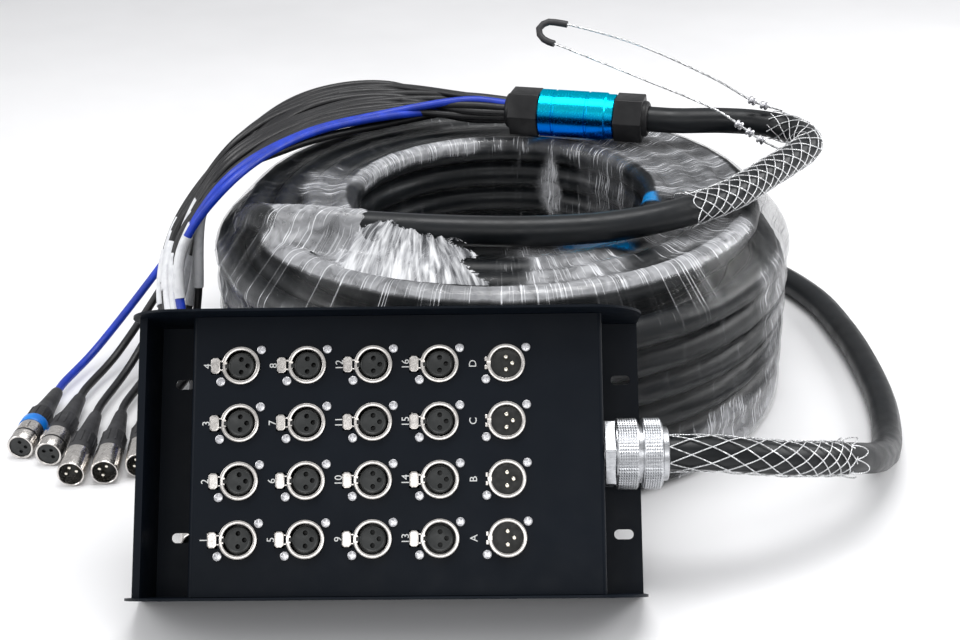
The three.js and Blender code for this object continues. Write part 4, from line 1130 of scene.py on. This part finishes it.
def make_fan_out():
    inlet = nut_and_dome("inlet_nut", 0, INLET_NUT, True)
    outlet = nut_and_dome("outlet_nut", OUTLET_START, OUTLET_NUT, False)
    pieces = [inlet, barrel_piece(), outlet]
    for piece, part in zip(pieces, ("inlet_nut", "barrel", "outlet_nut")):
        blue = part == "barrel"
        give(piece, "anodised" if blue else "nylon")
        piece.data.transform(FAN_OUT)
        belongs(piece, "blue_anodised" if blue else "black_nylon", "fan_out_" + part)
    return pieces


# Tails

def plug_master(kind):
    """A round plug along X, its mouth at zero and its boot's tip at -82 mm."""
    boot = [(0, -82), (4.2, -82), (4.7, -80), (6.4, -60), (7.4, -51), (8.4, -48), (8.9, -46)]
    boot += [(8.9, -30.5), (9.3, -30), (9.3, -24.6), (0, -24.6)]
    body = join("boot", turned("boot", boot, 40), *boot_ribs())
    smooth(body, 35)
    give(body, "rubber")
    parts = [body, *(pin_mouth() if kind == "pins" else socket_mouth())]
    if kind == "ringed":
        band = [(8.6, -32.5), (9.8, -32.5), (10.1, -32), (10.1, -24.6), (9.8, -24.2), (8.6, -24.2)]
        parts.append(turned("band", band, 40, "X", 40, "ring"))
    return join("plug_" + kind, *parts)


def boot_ribs():
    """The ribs round a boot, to hold it by."""
    ribs = []
    for turn in range(RIBS):
        rib = block_piece("rib", (14, 1.6, 1.4), (-39, 0, 8.7), 0.4)
        rib.data.transform(Matrix.Rotation(TAU * turn / RIBS, 4, "X"))
        ribs.append(rib)
    return ribs


def pin_mouth():
    """The shell of a plug with pins, with its floor and its three pins."""
    shell = [(8.2, -13), (8.2, -0.4), (8.6, 0), (9.2, 0), (9.5, -0.5), (9.5, -24.6), (0, -24.6), (0, -13)]
    tube = turned("shell", shell, 48, "X", 40, "nickel")
    floor = turned("floor", [(0, -13.2), (8.2, -13.2), (8.2, -12.6), (0, -12.6)], 32, "X", None, "insert")
    pins = contact_cylinders(1.2, 5.3, -7.6)
    pins.data.transform(Matrix.Rotation(math.pi / 2, 4, "Z"))
    bevel(pins, 0.5 * MM, 2, 50)
    give(pins, "contact")
    return [tube, floor, pins]


def socket_mouth():
    """The shell of a plug with sockets, with its face, a black ring of painted shade for its groove and the
    latch's button.
    """
    shell = [(7.9, -3), (7.9, -0.4), (8.4, 0), (9.1, 0), (9.5, -0.5), (9.5, -24.6), (0, -24.6), (0, -3)]
    tube = turned("shell", shell, 48, "X", 40, "nickel")
    face = turned("face", [(0, -3.2), (7.8, -3.2), (7.8, -1.2), (7.2, -0.8), (0, -0.8)], 40)
    holes = contact_cylinders(1.4, 1.6, -1)
    holes.data.transform(Matrix.Rotation(math.pi / 2, 4, "Z"))
    cut(face, holes)
    give(face, "insert")
    # Painted shade: a black ring stands where the groove's shade falls.
    groove = turned("groove", [(9, -12.2), (9.62, -12.2), (9.62, -10.6), (9, -10.6)], 40, "X", None, "painted_shade")
    button = block_piece("latch", (8, 4.4, 1.8), (-17.5, 0, 9.6), 0.5)
    give(button, "nickel")
    return [tube, face, groove, button]


def hidden_tails():
    """Fourteen more tails. Their plugs lie in three layers behind the box."""
    out = []
    for i in range(14):
        layer, column = i // 5, i % 5
        x = -134 + 23.5 * column + (11.5 if layer == 2 else 0)
        heading = 283 + 5 * column
        mouth = (x, 20 + 2 * layer, PLUG_R + 19.2 * layer)
        rank = column * 3 + layer
        share = rank / 14
        wave = 6 * math.sin(2.4 * i)
        route = [
            (-34 + wave, 449 - 64 * share, 181 - 10 * share),
            (-96, 430 - 96 * share + wave, 180 - 10 * share),
            (-146 + 0.6 * wave, 348 - 82 * share, 166 - 10 * share - 0.4 * wave),
            (-196 + 18 * share, 316 - 62 * share, 108 + wave),
            (-200 + 24 * share, 262 - 30 * share, 62 + wave),
            (-168 + rank, 204 - 2 * rank, 26 + 12 * layer),
            tuple(Vector(mouth) - level(math.radians(heading)) * 122),
        ]
        kind = "socket" if i in (2, 3) else "pins"
        out.append((mouth, heading, kind, "blue" if i in (4, 9) else "black", route))
    return out


def tail_seat(i):
    """Where a tail stands in the bundle: one in the middle, seven round it and twelve outside."""
    ring = 0 if i == 0 else (1 if i < 8 else 2)
    turn = TAU * (i - (0, 1, 8)[ring]) / (1, 7, 12)[ring]
    radius = (0, 4.2, 7.8)[ring] * MM
    across = Vector((-FAN_OUT_AXIS.y, FAN_OUT_AXIS.x, 0))
    return across * radius * math.cos(turn) + Vector((0, 0, radius * math.sin(turn)))


def tail_line(i, tip, facing, route):
    """The way of a tail from the fan-out to the boot of its plug."""
    outlet = FAN_OUT_START + FAN_OUT_AXIS * FAN_OUT_END
    start = outlet + tail_seat(i) - FAN_OUT_AXIS * 1 * MM
    out = outlet + tail_seat(i) * 1.2 + FAN_OUT_AXIS * 30 * MM
    boot = tip - facing * BOOT_END
    return smooth_route([start, out, *(place(*p) for p in route), boot - facing * 13 * MM, boot], 6 * MM)


def make_tails(sizes):
    masters = {kind: plug_master(kind) for kind in ("pins", "socket", "ringed")}
    for i, (mouth, heading, kind, color, route) in enumerate(TAILS + hidden_tails()):
        angle = math.radians(heading)
        tip = place(*mouth)
        line = tail_line(i, tip, level(angle), route)
        tail = curve_piece(f"tail_{i + 1}", [line], sizes.tail_diameter / 2, 3)
        give(tail, "tail_" + color)
        belongs(tail, "tail_jacket", *(["tail_loom"] if i == 0 else []))
        at = Matrix.Translation(tip) @ Matrix.Rotation(angle, 4, "Z") @ Matrix.Rotation(0.9 * i, 4, "X")
        plug = copy_to(masters[kind], f"plug_{i + 1}", at, "snake")
        if i < 6:
            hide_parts(f"tail_plug_{i + 1}")
        make_sleeve(i, line, tail)
    forget(*masters.values())


def tube_piece(name, line, radius, look):
    """A short tube round a stretch of a cord, as a mesh with rounded ends."""
    piece = curve_piece(name, [line], radius, 3)
    make_active(piece)
    bpy.ops.object.convert(target="MESH")
    clean(piece)
    smooth(piece, 50)
    give(piece, look)
    return piece


def make_sleeve(i, line, tail):
    """The white sleeve on a tail, where it comes over the side of the coil."""
    high = (142 - 64 * (0.618 * i % 1)) * MM
    first = next(k for k, p in enumerate(line) if p.x < COIL_X - 196 * MM and p.z < high)
    sleeve = tube_piece(f"sleeve_{i + 1}", line[first:first + 9 + i % 3], 4.1 * MM, "sleeve")
    sleeve.parent = tail
    return sleeve


# The film: its steps round the coil, its thickness, the rounding of its inner edge and how high it starts.
# The torn flap has steps along the rim and up from it
FILM_STEPS = 360
FILM_SKIN = 0.5 * MM
FILM_EDGE_R = 8 * MM
FILM_FOOT = 3.5 * MM
FLAP_STEPS = (120, 60)


def arc_section(radius, height, reach, first, last, steps, part):
    """Points of an arc of the film's section about one turn of the cable."""
    out = []
    for i in range(steps + 1):
        a = math.radians(first + (last - first) * i / steps)
        out.append((radius + reach * math.cos(a), height + reach * math.sin(a), part))
    return out


def line_section(start, end, steps, part):
    """Points between the ends of a straight stretch of the film's section."""
    return [(*(a + (b - a) * i / steps for a, b in zip(start, end)), part) for i in range(1, steps)]


def film_section():
    """The film's section as (radius, height, part), from the floor outside the coil to the floor inside it."""
    reach = FILM_REACH - FILM_SKIN
    high = CABLE_R + (LAYERS - 1) * TURN_PITCH
    inner = BORE_TURN_R - CABLE_R + 7 * MM
    shoulder = arc_section(OUTER_TURN_R, high - TURN_PITCH, reach, 0, 45, 4, "wall")
    rim = arc_section(OUTER_TURN_R - TURN_PITCH, high, reach, 45, 90, 5, "rim")
    edge = arc_section(inner, FILM_TOP - FILM_SKIN - FILM_EDGE_R, FILM_EDGE_R, 90, 180, 6, "edge")
    foot = (shoulder[0][0], FILM_FOOT)
    section = [(*foot, "wall"), *line_section(foot, shoulder[0][:2], 26, "wall"), *shoulder]
    section += [*line_section(shoulder[-1][:2], rim[0][:2], 6, "slope"), *rim]
    section += [*line_section(rim[-1][:2], edge[0][:2], 26, "top"), *edge]
    end = (edge[-1][0], FILM_FOOT)
    return section + [*line_section(edge[-1][:2], end, 22, "bore"), (*end, "bore")]


# Where the film looks white. Partly it lies in many layers or is scuffed. The rim row and the first edge row
# are painted highlights along the front rim and the bore's rim, and the top rows are partly a painted
# reflection of the bright room. The columns: the parts of its section, the first and the last angle round the
# coil in degrees, the reach (in radius on top, in height on the walls) and how white
FILM_HAZE_AND_SHEEN = [
    ("top", 196, 262, 108, 192, 0.62), ("top", 160, 214, 108, 150, 0.5), ("top", 268, 304, 122, 190, 0.62),
    ("top", 308, 342, 118, 190, 0.55), ("top", 346, 422, 108, 188, 0.5), ("top", 80, 120, 150, 176, 0.1),
    ("rim", 205, 345, 170, 200, 0.95), ("slope", 182, 345, 150, 215, 0.12),
    ("edge", 96, 178, 90, 130, 0.75), ("edge", 20, 96, 90, 130, 0.4),
    ("bore", 62, 74, 20, 150, 0.85), ("bore", 14, 60, 60, 150, 0.35), ("bore", 172, 214, 20, 150, 0.45),
    ("wall", 300, 372, 0, 40, 0.6), ("wall", 170, 244, 0, 140, 0.32), ("wall", 322, 380, 20, 140, 0.46),
]


# Where a painted reflection of the blue barrel lies on the film: places over the coil in millimetres, and
# reaches
FILM_PAINTED_REFLECTION = [(57, 118, 36, 14), (107, -24, 10, 12), (65, -112, 30, 9)]


def blue_at(p):
    """How strongly the painted blue reflection lies on the film at a place."""
    value = 0.0
    for x, y, wide, deep in FILM_PAINTED_REFLECTION:
        across, along = (p.x - COIL_X) / MM - x, (p.y - COIL_Y) / MM - y
        value = max(value, min(1, 3 - 3 * max(abs(across) / wide, abs(along) / deep)))
    return value if p.z > FILM_TOP - 5 * MM else 0.0


def haze_at(angle, radius, height, part):
    """How white the film is at a place of its section: scuffs and layers of film, painted highlights and
    painted reflection.
    """
    degrees = math.degrees(angle)
    wander = noise.noise(Vector((5 * math.cos(angle), 5 * math.sin(angle), 30 * (radius + height))))
    value = 0.0
    for parts, first, last, low, high, amount in FILM_HAZE_AND_SHEEN:
        if part not in parts.split():
            continue
        reach = (height if part in ("wall", "bore") else radius) / MM
        for turn in (degrees, degrees + 360):
            side = min(turn - first, last - turn) / 9 + wander
            across = min(reach - low, high - reach) / 9 + 0.6 + wander
            value = max(value, amount * min(1, max(0, side)) * min(1, max(0, across)))
    return value


def film_dent(angle, radius, z, part):
    """How far the film sinks between the turns of the cable. On a turn it never goes under the jacket."""
    turn = z - CABLE_R if part in ("wall", "bore") else radius - OUTER_TURN_R
    around = level(angle)
    streak = noise.noise(around * 14 + Vector((0, 0, 6 * (z + radius))))
    sag = noise.noise(around * 3 + Vector((0, 0, 14 * (z + radius))))
    last_turn = CABLE_R + (LAYERS - 2) * TURN_PITCH
    flat = part in ("slope", "rim", "edge") or (part == "wall" and z > last_turn)
    between = 0.1 if flat else 0.5 - 0.5 * math.cos(TAU * turn / TURN_PITCH)
    return (0.25 * streak + 0.3 * sag - between * (2.2 + 1.4 * sag + 0.8 * streak)) * MM


def film_place(angle, radius, z, part, covered):
    """A place on the film, lifted where the film goes over the covered stretch of the upper lead."""
    out = level(angle)
    p = Vector((COIL_X, COIL_Y, z)) + out * radius
    dent = film_dent(angle, radius, z, part)
    p += {"bore": -out, "top": Vector((0, 0, 1)), "edge": Vector((0, 0, 1))}.get(part, out) * dent
    if part != "bore" and z > FILM_TOP - 40 * MM:
        flat = np.hypot(covered[:, 0] - p.x, covered[:, 1] - p.y)
        near = int(flat.argmin())
        over = math.sqrt(max((CABLE_R + 1.2 * MM) ** 2 - flat[near] ** 2, 0))
        p.z = max(p.z, covered[near, 2] + over - max(flat[near] - CABLE_R, 0) * 1.3)
    return p


def make_film(sizes):
    section = film_section()
    lead = np.array([tuple(p) for p in FAN_LEAD])
    passed = np.concatenate([[0], np.cumsum(np.linalg.norm(np.diff(lead, axis=0), axis=1))])
    covered = lead[passed < sizes.lead_shown_from]
    bare = lead[passed >= sizes.lead_shown_from - 4 * MM]
    mesh = bmesh.new()
    # Per point: the whiteness with its painted highlights and painted reflection, and the painted blue
    # reflection of the barrel.
    haze_and_sheen, blue = (mesh.verts.layers.float.new(name) for name in ("haze_and_sheen", "blue"))
    rings = []
    for i in range(FILM_STEPS):
        angle = TAU * i / FILM_STEPS
        ring = []
        for radius, z, part in section:
            vert = mesh.verts.new(film_place(angle, radius, z, part, covered))
            vert[haze_and_sheen] = haze_at(angle, radius, z, part)
            vert[blue] = blue_at(vert.co)
            ring.append(vert)
        rings.append(ring)
    for a, b in zip(rings, rings[1:] + rings[:1]):
        for j in range(len(section) - 1):
            quad = (a[j], b[j], b[j + 1], a[j + 1])
            middle = sum((v.co for v in quad), Vector()) / 4
            gap = np.sqrt(((bare - np.array(tuple(middle))) ** 2).sum(axis=1)).min()
            if gap > CABLE_R + 0.6 * MM:
                mesh.faces.new(quad)
    film = mesh_piece("film", mesh)
    edit(film)
    bpy.ops.mesh.select_all(action="SELECT")
    bpy.ops.mesh.normals_make_consistent(inside=False)
    leave_edit()
    smooth(film, 60)
    give(film, "film")
    belongs(film, "clear_film", "stretch_film")
    return film


def mesh_piece(name, mesh):
    """A finished bmesh as an object in the scene."""
    mesh.normal_update()
    data = bpy.data.meshes.new(name)
    mesh.to_mesh(data)
    mesh.free()
    piece = bpy.data.objects.new(name, data)
    bpy.context.scene.collection.objects.link(piece)
    return piece


def flap_place(u, v):
    """A place on the torn flap: u runs along the rim from the left, v from the rim up to the cable."""
    rim = math.radians(233 + 36 * u)
    low = over_coil(189 * math.cos(rim), 189 * math.sin(rim), 1.5)
    high = over_coil(-92 + 66 * u, -119 - 5 * u, 6 + 13 * math.sin(math.pi * min(1, 0.25 + u)))
    p = low.lerp(high, v)
    fine = abs(noise.noise(Vector((u * 15, v * 1.4, 9.1))))
    ray = abs(noise.noise(Vector((u * 7 + v, v * 0.9, 3.1)))) + 0.3 * fine
    rise = 2 + 4.5 * ray * (0.2 + v) + 3.5 * math.sin(math.pi * v)
    return p + Vector((0, 0, rise * MM))


def make_torn_film():
    """A crumpled flap of film, spread like a fan in front of the cable where it comes out of the wrap."""
    across, deep = FLAP_STEPS
    mesh = bmesh.new()
    fan = mesh.verts.layers.float_vector.new("fan")
    grid = []
    for i in range(across):
        row = []
        for j in range(deep):
            u, v = i / (across - 1), j / (deep - 1)
            row.append(mesh.verts.new(flap_place(u, v)))
            row[-1][fan] = Vector((u * 3, 0.22 * v, 0.1 * u * v))
        grid.append(row)
    for i in range(across - 1):
        for j in range(deep - 1):
            u, v = i / (across - 1), j / (deep - 1)
            tear = 0.1 * noise.noise(Vector((u * 6, v * 6, 1.3)))
            tear += 0.05 * noise.noise(Vector((u * 40, v * 40, 5.3)))
            if tear + 0.06 < u < 0.94 + tear and v < 0.9 + 2 * tear:
                mesh.faces.new((grid[i][j], grid[i + 1][j], grid[i + 1][j + 1], grid[i][j + 1]))
    bmesh.ops.delete(mesh, geom=[v for v in mesh.verts if not v.link_faces], context="VERTS")
    flap = mesh_piece("torn_film", mesh)
    smooth(flap, 80)
    give(flap, "torn_film")
    belongs(flap, "clear_film")
    return flap


# Stage

def make_stage(looks):
    floor = start_piece(bpy.ops.mesh.primitive_plane_add, "floor", size=12)
    pale = Finish("floor", "pale_floor", (0.86, 0.86, 0.87), 0.5)
    pale.tint(pale.noise(2.5, 3), (0.9, 0.9, 0.91)).gloss(pale.noise(30, 3), 0.45, 0.6)
    give(floor, "floor")

    world = bpy.data.worlds.new("studio")
    world.use_nodes = True
    bpy.context.scene.world = world
    tree = world.node_tree
    background = tree.nodes["Background"]
    path = tree.nodes.new("ShaderNodeLightPath")
    seen = tree.nodes.new("ShaderNodeMath")
    seen.operation = "MAXIMUM"
    tree.links.new(path.outputs["Is Camera Ray"], seen.inputs[0])
    tree.links.new(path.outputs["Is Transmission Ray"], seen.inputs[1])
    strength = tree.nodes.new("ShaderNodeMapRange")
    tree.links.new(seen.outputs[0], strength.inputs["Value"])
    strength.inputs["To Min"].default_value = looks.world_light
    strength.inputs["To Max"].default_value = 0.95
    tree.links.new(strength.outputs["Result"], background.inputs["Strength"])
    background.inputs["Color"].default_value = (0.98, 0.985, 1, 1)

    lamps = (
        ("overhead", (0.1, 0.3, 1.5), (0, 0, 0), 1.2, 0.7, 16),
        ("left_bank", (-1.3, -0.2, 0.9), (0, -60, -6), 0.8, 1.0, 8),
        ("right_bank", (1.4, 0.5, 0.8), (0, 58, 8), 0.5, 1.1, 11),
        ("front_fill", (0.1, -1.7, 1.1), (56, 0, 3), 1.4, 0.6, 6),
    )
    for name, location, turn, wide, tall, power in lamps:
        data = bpy.data.lights.new(name, "AREA")
        data.shape = "RECTANGLE"
        data.size, data.size_y, data.energy = wide, tall, power
        lamp = bpy.data.objects.new(name, data)
        lamp.location = location
        lamp.rotation_euler = [math.radians(t) for t in turn]
        bpy.context.scene.collection.objects.link(lamp)


def make_camera(looks):
    data = bpy.data.cameras.new("photographer")
    data.lens = looks.lens
    data.sensor_width = 36
    camera = bpy.data.objects.new("photographer", data)
    turn, pitch, roll = (math.radians(angle) for angle in looks.camera_turn)
    camera.matrix_world = (
        Matrix.Translation(looks.camera_place)
        @ Matrix.Rotation(turn, 4, "Z")
        @ Matrix.Rotation(math.pi / 2 - pitch, 4, "X")
        @ Matrix.Rotation(roll, 4, "Z")
    )
    bpy.context.scene.collection.objects.link(camera)
    bpy.context.scene.camera = camera
    bpy.context.scene.view_settings.view_transform = "Standard"


# Add-on: what a user would change, the operators and the panel

def length_property(name, about, default):
    return FloatProperty(name=name, description=about, default=default, unit="LENGTH")


def color_property(name, about, default):
    return FloatVectorProperty(name=name, description=about, default=default, subtype="COLOR")


def share_property(name, about, default):
    return FloatProperty(name=name, description=about, default=default, min=0, max=1)


class SnakeSizes(bpy.types.PropertyGroup):
    """Sizes that a user would change"""

    tail_diameter: length_property("Tail diameter", "Outside diameter of a tail", 6.4 * MM)
    print_height: length_property("Print size", "Type size of the channel numbers", 6.3 * MM)
    sheet_rounding: length_property("Sheet rounding", "Radius on the edges of the steel", 0.35 * MM)
    lead_shown_from: length_property("Lead shown from", "Length of the upper lead that the film covers", 0.163)


class SnakeLooks(bpy.types.PropertyGroup):
    """Colours and light that a user would change"""

    coat_color: color_property("Powder coat", "Colour of the box", (0.0022, 0.0042, 0.0078))
    nickel_color: color_property("Nickel", "Colour of the plated parts", (0.72, 0.69, 0.66))
    jacket_color: color_property("Cable jacket", "Colour of the trunk cable", (0.003, 0.0042, 0.0056))
    barrel_color: color_property("Barrel", "Colour of the fan-out barrel", (0.0, 0.1, 0.72))
    film_clear: share_property("Clear film", "Opacity of clear film seen from in front", 0.14)
    film_edge: share_property("Film at its edge", "Opacity of clear film seen along its surface", 0.42)
    world_light: FloatProperty(
        name="World light", description="Strength of the even light from all sides",
        default=0.55, min=0,
    )
    lens: FloatProperty(name="Lens", description="Focal length of the camera", default=54.59)
    camera_place: FloatVectorProperty(
        name="Camera place", description="Where the camera stands",
        subtype="TRANSLATION", default=(0.0664, -0.7471, 0.5402),
    )
    camera_turn: FloatVectorProperty(
        name="Camera turn", description="Turn, downward pitch and roll of the camera in degrees",
        default=(1.233, 25.957, -1.195),
    )


class BuildMaterials(bpy.types.Operator):
    """Makes every material of the snake"""

    bl_idname = "snake.materials"
    bl_label = "Materials"

    def execute(self, context):
        make_materials(context.scene.snake_looks)
        return {"FINISHED"}


class BuildStage(bpy.types.Operator):
    """Sets the floor, the light and the camera"""

    bl_idname = "snake.stage"
    bl_label = "Stage"

    def execute(self, context):
        make_stage(context.scene.snake_looks)
        make_camera(context.scene.snake_looks)
        return {"FINISHED"}


class BuildCable(bpy.types.Operator):
    """Makes the trunk cable with its grips, eye and fan-out housing"""

    bl_idname = "snake.cable"
    bl_label = "Trunk cable"

    def execute(self, context):
        cable, line = make_trunk()
        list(make_grips())
        make_eye()
        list(make_fan_out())
        return {"FINISHED"}


class BuildTails(bpy.types.Operator):
    """Makes the tails with their sleeves and plugs"""

    bl_idname = "snake.tails"
    bl_label = "Tails"

    def execute(self, context):
        make_tails(context.scene.snake_sizes)
        return {"FINISHED"}


class BuildFilm(bpy.types.Operator):
    """Makes the stretch film and its torn flap"""

    bl_idname = "snake.film"
    bl_label = "Stretch film"

    def execute(self, context):
        film = make_film(context.scene.snake_sizes)
        flap = make_torn_film()
        return {"FINISHED"}


class BuildSheetMetal(bpy.types.Operator):
    """Makes the chassis and the connector panel"""

    bl_idname = "snake.sheet_metal"
    bl_label = "Sheet metal"

    def execute(self, context):
        make_sheet_metal(context.scene.snake_sizes)
        return {"FINISHED"}


class BuildJacks(bpy.types.Operator):
    """Makes the jacks, push tabs, screws and printed numbers"""

    bl_idname = "snake.jacks"
    bl_label = "Jacks"

    def execute(self, context):
        make_jacks()
        make_prints(context.scene.snake_sizes)
        return {"FINISHED"}


class BuildGland(bpy.types.Operator):
    """Makes the cable gland"""

    bl_idname = "snake.gland"
    bl_label = "Gland"

    def execute(self, context):
        make_gland()
        return {"FINISHED"}


class SnakePanel(bpy.types.Panel):
    """Shows the snake's settings and the buttons that build its pieces"""

    bl_idname = "VIEW3D_PT_snake"
    bl_label = "Stage Box Snake"
    bl_space_type = "VIEW_3D"
    bl_region_type = "UI"
    bl_category = "Snake"

    def draw(self, context):
        for group in (context.scene.snake_sizes, context.scene.snake_looks):
            for key in group.__annotations__:
                self.layout.prop(group, key)
        for operator in OPERATORS:
            self.layout.operator(operator.bl_idname)


OPERATORS = (
    BuildMaterials, BuildStage, BuildCable, BuildTails, BuildFilm, BuildSheetMetal, BuildJacks, BuildGland,
)
CLASSES = (SnakeSizes, SnakeLooks, *OPERATORS, SnakePanel)


def register():
    for cls in CLASSES:
        bpy.utils.register_class(cls)
    bpy.types.Scene.snake_sizes = PointerProperty(type=SnakeSizes)
    bpy.types.Scene.snake_looks = PointerProperty(type=SnakeLooks)


def unregister():
    del bpy.types.Scene.snake_looks
    del bpy.types.Scene.snake_sizes
    for cls in reversed(CLASSES):
        bpy.utils.unregister_class(cls)


def main():
    register()
    bpy.ops.snake.materials()
    bpy.ops.snake.stage()
    bpy.ops.snake.cable()
    bpy.ops.snake.tails()
    bpy.ops.snake.film()
    bpy.ops.snake.sheet_metal()
    bpy.ops.snake.jacks()
    bpy.ops.snake.gland()
    deselect()


if __name__ == "__main__":
    main()
